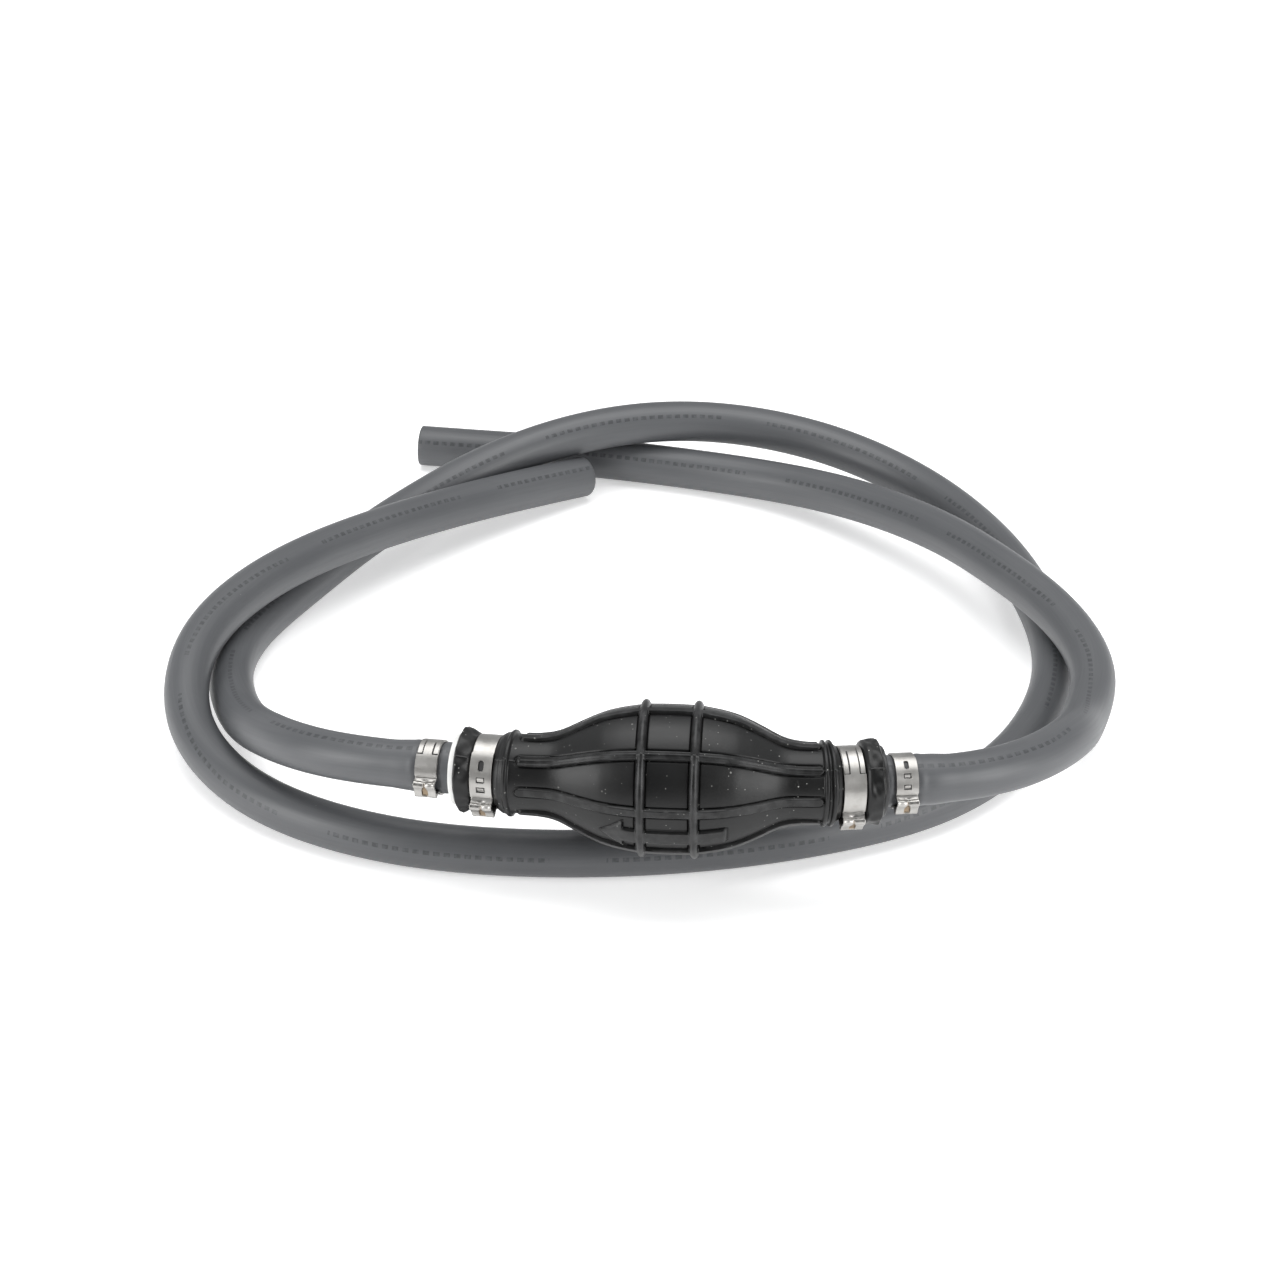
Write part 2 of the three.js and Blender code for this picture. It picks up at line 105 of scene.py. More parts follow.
# along each end's axis: lip of the bulb, outside of the flange, hose end, clamp centres
LEFT.lip, LEFT.flange, LEFT.hose_start, LEFT.bulb_clamp, LEFT.hose_clamp = 68.8, 70.8, 71.1, 59.4, 78.9
RIGHT.lip, RIGHT.flange, RIGHT.hose_start, RIGHT.bulb_clamp, RIGHT.hose_clamp = 68.0, 69.4, 69.7, 58.0, 76.0

# ------------------------------------------------------------------ hose routes, as in the CAD source (mm)
LEFT_ROUTE = [
    [-85.37, 6.59, -1.99], [-117.01, 19.41, -6.04], [-139.52, 44.1, -14.41], [-156.13, 81.49, -26.94], [-164.51, 117.27, -31.8],
    [-161.7, 152.25, -33.6], [-148.49, 186.4, -33.41], [-132.2, 219.6, -32.1], [-111.1, 249.2, -28.5], [-84.8, 274.5, -23.37],
    [-53.3, 292.28, -18.54], [-19.1, 303.28, -17.42], [17.3, 307.1, -20.87], [52.6, 297.6, -25.3], [82, 276.5, -29.3],
    [102.7, 246.7, -30.4], [117.5, 212.8, -30.71], [127.59, 177.71, -32.85], [130.49, 141.61, -33.6], [124.4, 105.6, -33.53],
    [109.7, 72.1, -33.6], [85.6, 45, -33.6], [53.7, 26.5, -33.6], [19.4, 14.3, -33.6], [-16.5, 7.1, -33.6],
    [-53.1, 5, -33.6], [-89.5, 8.9, -33.5], [-123.6, 21.5, -33.3], [-152.5, 44, -32.5], [-172.23, 74.3, -27.34],
    [-175.84, 109.62, -19.87], [-165.5, 144.72, -16.84], [-147.72, 176.5, -17.47], [-126.5, 206.1, -20.6], [-103, 234, -24.8],
    [-77.5, 260.2, -29.2], [-50.7, 285, -33.6],
]
RIGHT_ROUTE = [
    [83.03, 8.09, -1.88], [114.08, 24.81, -4.86], [133.12, 55.9, -11.43], [137.9, 78.64, -18.43], [142.5, 110.38, -19.6],
    [129.69, 156.02, -17.09], [112.3, 186.6, -17.82], [94.2, 215.9, -20.7], [72.8, 242.8, -24.5], [47.7, 266.2, -28.6],
    [18.5, 284.2, -32.14], [-14.1, 295.31, -33.6], [-48, 301.72, -33.6], [-82.4, 305.2, -33.6], [-117.9, 308.5, -33.6],
]
LEFT_STRAIGHT, RIGHT_STRAIGHT = 86.0, 84.0
HOSE_R, HOSE_BORE = 7.95, 4.75


def spline(points, d0, n):
    """cubic through the points by chord length; set direction at the first, free at the last"""
    P = np.asarray(points, float)
    m = len(P)
    h = np.linalg.norm(np.diff(P, axis=0), axis=1)
    s = np.r_[0, np.cumsum(h)]
    M = np.zeros((m, m))
    r = np.zeros((m, 3))
    M[0, 0], M[0, 1] = 2 * h[0], h[0]
    r[0] = 6 * ((P[1] - P[0]) / h[0] - d0)
    for i in range(1, m - 1):
        M[i, i - 1], M[i, i], M[i, i + 1] = h[i - 1], 2 * (h[i - 1] + h[i]), h[i]
        r[i] = 6 * ((P[i + 1] - P[i]) / h[i] - (P[i] - P[i - 1]) / h[i - 1])
    M[-1, -1] = 1
    K = np.linalg.solve(M, r)
    t = np.linspace(0, s[-1], n)
    i = np.clip(np.searchsorted(s, t, side="right") - 1, 0, m - 2)
    a, b, q = (s[i + 1] - t)[:, None], (t - s[i])[:, None], h[i][:, None]
    return K[i] * a**3 / (6 * q) + K[i + 1] * b**3 / (6 * q) + (P[i] / q - K[i] * q / 6) * a + (P[i + 1] / q - K[i + 1] * q / 6) * b


def arc(P):
    return np.r_[0, np.cumsum(np.linalg.norm(np.diff(P, axis=0), axis=1))]


def centreline(end, route, straight):
    pts = [list(p) for p in route]
    pts[0] = list(end.at(straight))
    c = spline(pts, end.d, 6000)
    lead = np.array([end.at(u) for u in np.linspace(end.hose_start, straight, 60)[:-1]])
    return np.vstack([lead, c])


def at_lengths(P, s):
    L = arc(P)
    return np.array([np.interp(s, L, P[:, k]) for k in range(3)]).T


# ------------------------------------------------------------------ mesh helpers
def smoothstep(t):
    t = np.clip(t, 0, 1)
    return t * t * (3 - 2 * t)


def make(name, verts, faces, sharp=None, smooth=True, attributes=None):
    """a mesh object from vertices in mm"""
    me = bpy.data.meshes.new(name)
    me.from_pydata((np.asarray(verts, float) * MM).tolist(), [], [tuple(int(i) for i in f) for f in faces])
    me.validate()
    me.update()
    if smooth:
        me.polygons.foreach_set("use_smooth", [True] * len(me.polygons))
    for key, values in (attributes or {}).items():
        a = me.attributes.new(key, "FLOAT", "POINT")
        a.data.foreach_set("value", np.asarray(values, np.float32))
    o = bpy.data.objects.new(name, me)
    scene.collection.objects.link(o)
    bm = bmesh.new()
    bm.from_mesh(me)
    bmesh.ops.recalc_face_normals(bm, faces=bm.faces)
    bm.to_mesh(me)
    bm.free()
    if sharp is not None and smooth:
        me.set_sharp_from_angle(angle=rad(sharp))
    return o


def quads(a, b, c, d):
    return np.stack([a.ravel(), b.ravel(), c.ravel(), d.ravel()], 1)


def ring_grid(nu, nv, close_u=False, close_v=True, base=0):
    """quads of a nu x nv grid of vertices, row major"""
    idx = np.arange(nu * nv).reshape(nu, nv) + base
    a = idx if close_u else idx[:-1]
    b = np.roll(idx, -1, 0) if close_u else idx[1:]
    if close_v:
        return quads(a, b, np.roll(b, -1, 1), np.roll(a, -1, 1))
    return quads(a[:, :-1], b[:, :-1], b[:, 1:], a[:, 1:])


# ------------------------------------------------------------------ hoses: hollow tubes with square cut ends
def frames_along(P, first_normal):
    """tangent, normal and binormal at each point, carried along without twist"""
    T = np.gradient(P, axis=0)
    T /= np.linalg.norm(T, axis=1)[:, None]
    N = np.zeros_like(P)
    n = first_normal - T[0] * (first_normal @ T[0])
    N[0] = n / np.linalg.norm(n)
    for i in range(1, len(P)):
        n = N[i - 1] - T[i] * (N[i - 1] @ T[i])
        N[i] = n / np.linalg.norm(n)
    return T, N, np.cross(T, N)


def hose(name, end, route, straight, print_at, sides=64):
    dense = centreline(end, route, straight)
    total = arc(dense)[-1]
    near = np.r_[0, 0.12, 0.35, 0.7, np.arange(1.2, 26, 0.55)]
    far = np.r_[total - 0.75, total - 0.42, total - 0.16, total]
    s = np.r_[near, np.arange(27, total - 1.4, 2.4), far]
    P = at_lengths(dense, s)
    fine = at_lengths(dense, np.linspace(0, total, 4000))
    T, N, B = frames_along(fine, end.y)
    k = np.clip(np.searchsorted(np.linspace(0, total, 4000), s), 0, 3999)
    N, B = N[k], B[k]
    u = s + end.hose_start
    # outside: the sleeve over the barb, pinched under the clamp and swollen on both sides of it
    sleeve = 8.45 - 0.5 * smoothstep((u - 85.0) / 9.0)
    clamp_lo, clamp_hi = end.hose_clamp - 3.7, end.hose_clamp + 3.7
    pinch = smoothstep((u - clamp_lo + 0.9) / 0.9) * smoothstep((clamp_hi + 0.9 - u) / 0.9)
    swell = np.exp(-((u - clamp_hi - 1.7) / 1.2) ** 2) * 0.2 + np.exp(-((u - clamp_lo + 1.4) / 0.8) ** 2) * 0.12
    R = sleeve - 0.12 * pinch + swell
    R = R - np.where(s < 1.0, 0.4 * (1 - np.sqrt(np.clip(1 - (1 - s) ** 2, 0, 1))), 0)
    e = np.clip(total - s, 0, None)
    R = R - np.where(e < 0.8, 0.42 * (1 - np.sqrt(np.clip(1 - (1 - e / 0.8) ** 2, 0, 1))), 0)
    bore = HOSE_BORE + 0.5 * smoothstep((88.5 - u) / 4.0)
    bore_e = bore + np.where(e < 0.5, 0.22 * (1 - e / 0.5), 0)
    a = np.linspace(0, 2 * np.pi, sides, endpoint=False)
    # the hose isn't a perfect cylinder: slow ovality and wall variation
    oval = 1 + 0.004 * np.sin(2 * a[None, :] + s[:, None] / 61.0) + 0.003 * np.sin(s[:, None] / 23.0 + a[None, :])
    grow = smoothstep((s - 26) / 20.0)[:, None]
    Rg = R[:, None] * (1 + (oval - 1) * grow)
    ca, sa = np.cos(a)[None, :, None], np.sin(a)[None, :, None]
    outer = P[:, None] + Rg[..., None] * (N[:, None] * ca + B[:, None] * sa)
    inner = P[:, None] + bore_e[:, None, None] * (N[:, None] * ca + B[:, None] * sa)
    n = len(s)
    verts = np.vstack([outer.reshape(-1, 3), inner.reshape(-1, 3)])
    io = np.arange(n * sides).reshape(n, sides)
    ii = io + n * sides
    f = [ring_grid(n, sides), ring_grid(n, sides, base=n * sides)[:, ::-1]]
    for r in (0, n - 1):
        f.append(quads(io[r], np.roll(io[r], -1), np.roll(ii[r], -1), ii[r]))
    along = np.repeat(s, sides) / 1000.0
    round_ = np.tile(a / (2 * np.pi), n)
    # where the maker's printed line would run: its place round the hose changes slowly along it
    turn = np.interp(s, [p[0] for p in print_at], [rad(p[1]) for p in print_at])
    da = (a[None, :] - turn[:, None]).ravel()
    o = make(name, verts, np.vstack(f), sharp=42,
             attributes={"along": np.r_[along, along], "round": np.r_[round_, round_],
                         "inside": np.r_[np.zeros(n * sides), np.ones(n * sides)],
                         "mark_across": np.r_[HOSE_R * np.sin(da), 99 + 0 * da], "mark_side": np.r_[np.cos(da), -1 + 0 * da]})
    return o, dense, total


LEFT_PRINT = [(0, 70), (60, 75), (100, 84), (140, 97), (200, 128), (260, 140), (420, 150), (540, 146), (660, 118), (700, 96), (740, 70), (780, 46), (820, 32), (980, 32), (1040, 48), (1100, 96), (1180, 132), (1340, 140)]
RIGHT_PRINT = [(0, 118), (60, 116), (100, 96), (140, 72), (200, 44), (300, 28), (400, 24), (600, 24)]
hose_left, line_left, len_left = hose("hose_left_tube", LEFT, LEFT_ROUTE, LEFT_STRAIGHT, LEFT_PRINT)
hose_right, line_right, len_right = hose("hose_right_tube", RIGHT, RIGHT_ROUTE, RIGHT_STRAIGHT, RIGHT_PRINT)
for o, dense, total, end, node in ((hose_left, line_left, len_left, LEFT, "hose_left"),
                                   (hose_right, line_right, len_right, RIGHT, "hose_right")):
    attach(o, "line")
    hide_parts(node)
    (end.at(end.hose_start) * MM).tolist()


# ------------------------------------------------------------------ the bulb: two moulded halves, one hollow wall
def bend(p):
    """bends each neck towards its end's own axis, as the CAD does"""
    p = np.array(p, float)
    out = p.copy()
    for end in (LEFT, RIGHT):
        side = end.side
        sel = (p[:, 0] * side) > 42.0
        q, s = p[sel], np.abs(p[sel, 0])
        x = np.array([side, 0, 0.0])
        k = np.cross(x, end.d)
        full = math.asin(min(1.0, np.linalg.norm(k)))
        k /= np.linalg.norm(k)
        R = 12.0 / full
        nn = np.cross(k, x)
        th = full * np.minimum((s - 42.0) / 12.0, 1)
        c = np.array([side * 42.0, 0, 0]) + np.outer(R * np.sin(th), x) + np.outer(R * (1 - np.cos(th)), nn)
        c += np.outer(np.maximum(s - 54.0, 0), end.d)
        v = np.column_stack([np.zeros(len(q)), q[:, 1], q[:, 2]])
        ct, st = np.cos(th)[:, None], np.sin(th)[:, None]
        rot = v * ct + np.cross(k, v) * st + k * (v @ k)[:, None] * (1 - ct)
        out[sel] = c + rot
    return out


def profile(points, x, sigma):
    """a polyline of (x, r) with its corners rounded over about sigma"""
    pts = np.array(points, float)
    fine = np.arange(-0.5, 69.5, 0.02)
    r = np.interp(fine, pts[:, 0], pts[:, 1])
    w = np.exp(-0.5 * (np.arange(-60, 61) * 0.02 / sigma) ** 2)
    w /= w.sum()
    pad = np.r_[np.full(60, r[0]), r, np.full(60, r[-1])]
    return np.interp(x, fine, np.convolve(pad, w, "valid"))


def pchip(px, py, x):
    """smooth curve through points without overshoot"""
    px, py = np.asarray(px, float), np.asarray(py, float)
    h, d = np.diff(px), np.diff(py) / np.diff(px)
    m = np.zeros(len(px))
    for i in range(1, len(px) - 1):
        if d[i - 1] * d[i] > 0:
            w1, w2 = 2 * h[i] + h[i - 1], h[i] + 2 * h[i - 1]
            m[i] = (w1 + w2) / (w1 / d[i - 1] + w2 / d[i])
    m[0], m[-1] = 0, 0
    i = np.clip(np.searchsorted(px, x, side="right") - 1, 0, len(px) - 2)
    t = (x - px[i]) / h[i]
    return ((1 + 2 * t) * (1 - t) ** 2 * py[i] + t * (1 - t) ** 2 * h[i] * m[i]
            + t * t * (3 - 2 * t) * py[i + 1] + t * t * (t - 1) * h[i] * m[i + 1])


NECK_RIGHT = [[0, 13.1], [48.85, 13.1], [49.1, 14.2], [50.05, 14.25], [50.35, 13.1], [51.1, 13.1], [51.4, 14.2], [52.3, 14.15],
              [52.6, 13.3], [53.8, 12.3], [54.2, 11.5], [61.8, 11.4], [62.1, 12.9], [63.0, 13.7], [66.5, 14.2], [67.2, 14.3], [68.0, 12.8]]
NECK_LEFT = [[0, 13.1], [50.8, 13.1], [51.05, 14.3], [51.95, 14.35], [52.3, 13.75], [53.2, 13.5], [53.4, 13.35], [53.6, 13.45], [54.6, 12.9], [55.5, 12.1],
             [55.8, 11.5], [63.1, 11.4], [63.5, 12.0], [64.3, 12.5], [67.3, 14.0], [68.0, 14.3], [68.8, 12.8]]


BELLY = ([0, 7, 15, 21, 26, 30, 33, 36.5, 40, 44, 48, 75], [24.35, 24.2, 23.1, 21.6, 19.5, 17.5, 15.9, 14.25, 13.35, 13.1, 13.1, 13.1])
RINGS = (-8.7, 8.7)
ARROW_A = -24.0
TURN = 3.3  # the moulding sits turned by this much about its own axis


def skin(x, alpha):
    """outer radius at x (mm) and alpha (degrees from -Y towards +Z)"""
    s = np.abs(x)
    base = np.where(s < 46, pchip(*BELLY, s), np.where(x < 0, profile(NECK_LEFT, s, 0.13), profile(NECK_RIGHT, s, 0.13)))
    h = np.zeros(np.broadcast(x, alpha).shape)
    foot = np.zeros_like(h)

    def add(v):
        nonlocal h
        h = np.maximum(h, v) + 0.12 * np.exp(-np.abs(h - v) / 0.25) * (np.minimum(h, v) > 0.05)

    # ribs along the bulb, rounded at their ends
    for k in range(8):
        da = (alpha - 45.0 * k + 180.0) % 360.0 - 180.0
        if not (np.abs(da) < 14).any():
            continue
        d = np.abs(rad(1) * da) * base
        ends = np.maximum(s - 47.3, 0)
        dist = np.hypot(d, ends)
        half = 1.5 if k in (1, 5) else 1.4
        tall = 1.15 - 0.35 * smoothstep((s - 38) / 9.0)
        v = tall * smoothstep((half + 0.20 - dist) / 0.46)
        if k in (1, 5):  # the mould's halves meet along these two ribs, with a small step
            v = v - 0.16 * smoothstep((da * (1 if k == 1 else -1)) / 0.8) * (v > 0.3)
        add(np.where(da < 90, v, 0))
        foot += 0.30 * np.exp(-((dist - half - 0.36) / 0.24) ** 2) * (da < 90)
    # two round beads about the belly
    for xr in RINGS:
        dx = np.abs(x - xr) / 1.55
        add(1.8 * np.clip(1 - dx**2, 0, 1) ** 0.60 + 0 * alpha)
        foot += 0.34 * np.exp(-((np.abs(x - xr) - 1.72) / 0.22) ** 2) + 0 * alpha
    # flow arrow, raised on the lower front
    da = (alpha - ARROW_A + 180.0) % 360.0 - 180.0
    t = rad(1) * da * base
    shaft = np.minimum(3.0 - np.abs(t), np.minimum(x + 14.6, 19.3 - x))
    head = np.minimum((x + 21.6) / 7.2 * 6.0 - np.abs(t), (-14.2 - x))
    inside = np.maximum(shaft, head)
    add(0.85 * smoothstep(inside / 0.35))
    foot += 0.26 * np.exp(-((inside + 0.20) / 0.2) ** 2)
    # moulded pad at the left end of the front rib
    d45 = rad(1) * ((alpha - 45.0 + 180) % 360 - 180) * base
    px, pd = np.abs(x + 43.4) - 4.2, np.abs(d45) - 1.0
    pad = np.hypot(np.maximum(px, 0), np.maximum(pd, 0)) + np.minimum(np.maximum(px, pd), 0)
    add(1.35 * smoothstep((0.95 - pad) / 0.45) - 0.55 * smoothstep((0.25 - pad) / 0.35))
    h = h - foot * np.clip(1 - h / 0.5, 0, 1)
    # thin flash line left where the mould closes
    for a0 in (45.0, 225.0):
        dl = np.abs(rad(1) * ((alpha - a0 + 180) % 360 - 180) * base)
        free = np.where(x < 0, (s < 54.8) | (s > 64.0), (s < 53.2) | (s > 62.4))
        h = h + np.where(free, 0.16 * np.exp(-(dl / 0.22) ** 2), 0)
    # the clamps leave the necks slightly uneven
    lump = 0.16 * np.sin(rad(3) * alpha + 0.8 * np.sign(x)) * np.sin(rad(7) * alpha + s) * smoothstep((s - 53) / 3.0)
    lump = lump + (0.13 * np.sin(rad(9) * alpha + 1.1 * s) + 0.10 * np.sin(rad(17) * alpha - 0.7 * s + 1)) * smoothstep((s - 63.0) / 1.5)
    return base + h + lump


def bulb_half(name, a_from):
    """the half of the wall from a_from to a_from + 180 degrees about the axis"""
    xs = [0.0]
    step = lambda s: (0.22 if 6.4 < s < 11 else 0.5 if s < 23 else 1.0 if s < 40 else 0.45 if s < 46.5 else 0.2 if s < 49.2
                      else 0.16 if s < 56.5 else 0.8 if s < 61.2 else 0.18)
    while xs[-1] < 68.8:
        xs.append(xs[-1] + step(xs[-1]))
    xs = np.array(xs)
    left, right = np.r_[xs[xs < 68.75], 68.8], np.r_[xs[xs < 67.95], 68.0]
    xs = np.r_[-left[:0:-1], right]
    al = [a_from]
    while al[-1] < a_from + 180 - 1e-9:
        a = al[-1]
        near = min(abs((a - 45 * k + 180) % 360 - 180) for k in range(8))
        da = abs((a - ARROW_A + 180) % 360 - 180)
        al.append(a + (0.35 if near < 0.9 else 0.55 if near < 5.2 else 0.7 if near < 9 else 0.9 if da < 18 else 1.8))
    al[-1] = a_from + 180
    al = np.array(al)
    X, A = np.meshgrid(xs, al, indexing="ij")
    R = skin(X, A)
    A = A + TURN
    inner = np.interp(np.abs(X), [0, 15, 25, 33, 39, 43, 70.5], [21.6, 20.3, 17.0, 12.9, 10.3, 10.2, 10.2])
    ca, sa = np.cos(np.radians(A)), np.sin(np.radians(A))
    outer = np.stack([X, -R * ca, R * sa], -1).reshape(-1, 3)
    inn = np.stack([X, -inner * ca, inner * sa], -1).reshape(-1, 3)
    nx, na = X.shape
    verts = bend(np.vstack([outer, inn]))
    io = np.arange(nx * na).reshape(nx, na)
    ii = io + nx * na
    f = [ring_grid(nx, na, close_v=False), ring_grid(nx, na, close_v=False, base=nx * na)[:, ::-1]]
    for j in (0, na - 1):
        f.append(quads(io[:-1, j], io[1:, j], ii[1:, j], ii[:-1, j]))
    for i in (0, nx - 1):
        f.append(quads(io[i, :-1], io[i, 1:], ii[i, 1:], ii[i, :-1]))
    base = np.where(np.abs(X) < 46, pchip(*BELLY, np.abs(X)), R)
    raised = np.clip((R - base) / 1.2, 0, 1).ravel()
    groove = np.clip((base - R) / 0.30, 0, 1).ravel()
    return make(name, verts, np.vstack(f), sharp=58,
                attributes={"raised": np.r_[raised, 0 * raised], "groove": np.r_[groove, 0 * groove], "bx": np.r_[X.ravel(), X.ravel()] / 1000.0})


bulb_upper = bulb_half("bulb_upper_half", 45.0)
bulb_lower = bulb_half("bulb_lower_half", 225.0)
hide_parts("bulb_body", "bulb_wall_upper")
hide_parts("bulb_wall_lower")


# ------------------------------------------------------------------ turned fittings with barbs
def lathe(name, end, prof, segments=96, sharp=35):
    """a closed profile of (u, r) points turned about an end's own axis"""
    prof = np.array(prof, float)
    a = np.linspace(0, 2 * np.pi, segments, endpoint=False)
    u = np.repeat(prof[:, 0:1], segments, 1)
    y = prof[:, 1:2] * np.cos(a)
    z = prof[:, 1:2] * np.sin(a)
    verts = end.place(np.stack([u, y, z], -1).reshape(-1, 3))
    return make(name, verts, ring_grid(len(prof), segments, close_u=True), sharp=sharp)


def rounded(points, size=0.15, steps=3):
    """a closed polyline with each corner cut to a small round"""
    P = np.array(points, float)
    out = []
    for i in range(len(P)):
        a, b, c = P[i - 1], P[i], P[(i + 1) % len(P)]
        la, lc = np.linalg.norm(a - b), np.linalg.norm(c - b)
        k = min(size, 0.45 * la, 0.45 * lc)
        p, q = b + (a - b) / la * k, b + (c - b) / lc * k
        for t in np.linspace(0, 1, steps + 1):
            out.append((1 - t) ** 2 * p + 2 * t * (1 - t) * b + t * t * q)
    return out


def fitting(name, end):
    return lathe(name, end, rounded([
        [50.4, 7.6], [50.4, 9.9], [end.lip + 0.15, 9.9], [end.lip + 0.15, 11.75], [end.flange, 11.75], [end.flange, 4.75], [73.2, 4.6], [74.9, 5.1], [75.1, 4.5],
        [77.4, 5.1], [77.6, 4.5], [79.9, 5.1], [80.1, 4.5], [83.4, 4.95], [84.6, 4.1], [84.6, 3.2], [66.0, 3.2], [66.0, 7.6]], 0.22))


fit_left = fitting("fitting_left_turned", LEFT)
fit_right = fitting("fitting_right_turned", RIGHT)
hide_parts(LEFT_FITTING)
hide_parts(RIGHT_FITTING)


# ------------------------------------------------------------------ ear clamps
def band(name, end, u0, width, r_in, thick, alpha_ear, half, tall):
    """the closed band with its pinched ear: a rounded strip swept round a path"""
    th0 = end.angle(alpha_ear)
    r_out = r_in + thick
    mid = r_in + thick / 2
    base_a = math.asin((half + 0.35) / mid)
    n = 150
    path, ear = [], []
    for t in np.linspace(base_a + 0.10, 2 * math.pi - base_a - 0.10, n):
        path.append((mid * math.cos(t), mid * math.sin(t)))
        ear.append(0.0)
    # ear, from the far side of the ring back to the start: waist, shoulders and a dipped crest
    top = mid + tall
    pts = [(mid * math.cos(base_a) + 0.02, -half - 0.25), (mid + 0.55, -half + 0.15), (mid + tall * 0.45, -half + 0.28), (top - 0.85, -half - 0.05),
           (top - 0.25, -half + 0.3), (top, -half + 0.9), (top - 0.22, -half * 0.4), (top - 0.34, 0), (top - 0.22, half * 0.4), (top, half - 0.9),
           (top - 0.25, half - 0.3), (top - 0.85, half + 0.05), (mid + tall * 0.45, half - 0.28), (mid + 0.55, half - 0.15), (mid * math.cos(base_a) + 0.02, half + 0.25)]
    pts = np.array(pts)
    L = arc(pts)
    # smooth through the ear points
    q = np.linspace(0, L[-1], 64)
    ex, ey = np.interp(q, L, pts[:, 0]), np.interp(q, L, pts[:, 1])
    k = np.array([1, 2, 3, 2, 1]) / 9.0
    exs = np.convolve(np.r_[ex[0], ex[0], ex, ex[-1], ex[-1]], k, "valid")
    eys = np.convolve(np.r_[ey[0], ey[0], ey, ey[-1], ey[-1]], k, "valid")
    for x, y, t in zip(exs, eys, q / L[-1]):
        path.append((x, y))
        ear.append(math.sin(math.pi * t) ** 0.6)
    path, ear = np.array(path), np.array(ear)
    # dense enough, evenly spaced near the ear; normals point away from the axis
    nxt, prv = np.roll(path, -1, 0), np.roll(path, 1, 0)
    tan = nxt - prv
    tan /= np.linalg.norm(tan, axis=1)[:, None]
    nor = np.column_stack([tan[:, 1], -tan[:, 0]])
    # cross-section: a strip with rolled edges
    c = 0.22
    w2, t2 = width / 2, thick / 2
    prof = []
    for (sw, st) in ((1, 1), (-1, 1), (-1, -1), (1, -1)):
        order = np.linspace(0, math.pi / 2, 4)
        cx, cy = sw * (w2 - c), st * (t2 - c)
        start = {(1, 1): 0, (-1, 1): math.pi / 2, (-1, -1): math.pi, (1, -1): 1.5 * math.pi}[(sw, st)]
        for o_ in order:
            prof.append((cx + c * math.cos(start + o_), cy + c * math.sin(start + o_)))
        if (sw, st) == (1, 1):
            prof += [(w, t2) for w in np.linspace(w2 - c, -w2 + c, 30)[1:-1]]
        if (sw, st) == (-1, -1):
            prof += [(w, -t2) for w in np.linspace(-w2 + c, w2 - c, 30)[1:-1]]
    prof = np.array(prof)
    W, Tk = prof[:, 0], prof[:, 1]
    # the pincers leave a crease across each side of the ear, and its corners stay proud
    up = path[:, 1] * (1 if end.angle(alpha_ear + 5) > th0 else -1)
    side_hit = np.exp(-((np.abs(path[:, 1]) - half + 0.1) / 0.9) ** 2) * smoothstep((path[:, 0] - mid - 0.3) / 0.8) * (np.abs(path[:, 1]) < half + 0.8)
    side_hit = side_hit * np.where(up > 0, 1.0, 0.18)
    dent = 0.30 * side_hit[:, None] * np.exp(-(W[None, :] / 1.0) ** 2) - 0.22 * side_hit[:, None] * np.exp(-((np.abs(W[None, :]) - w2) / 0.8) ** 2)
    # a narrow arched hollow pressed down the middle of the crest
    on_top = smoothstep((path[:, 0] - top + 1.3) / 0.8)[:, None]
    rise = np.clip((up[:, None] + half - 0.9) / (2 * half - 1.9), 0, 1)
    arch = np.sqrt(np.clip(1 - (W[None, :] / 1.05) ** 2, 0, 1))
    hollow = smoothstep((arch - rise) / 0.3 + 0.5) * smoothstep((up[:, None] + half - 0.6) / 0.4) * (arch > 0)
    crest = 0.60 * on_top * hollow * (Tk[None, :] > 0)
    off = Tk[None, :] - dent - crest
    y = path[:, 0:1] + nor[:, 0:1] * off
    z = path[:, 1:2] + nor[:, 1:2] * off
    cth, sth = math.cos(th0), math.sin(th0)
    Y, Z = y * cth - z * sth, y * sth + z * cth
    U = np.repeat(u0 + W[None, :], len(path), 0)
    verts = end.place(np.stack([U, Y, Z], -1).reshape(-1, 3))
    o = make(name, verts, ring_grid(len(path), len(prof), close_u=True), sharp=50,
             attributes={"along": np.repeat(np.arange(len(path)) / len(path), len(prof)), "pit": np.clip(crest / 0.55, 0, 1).ravel()})
    return o


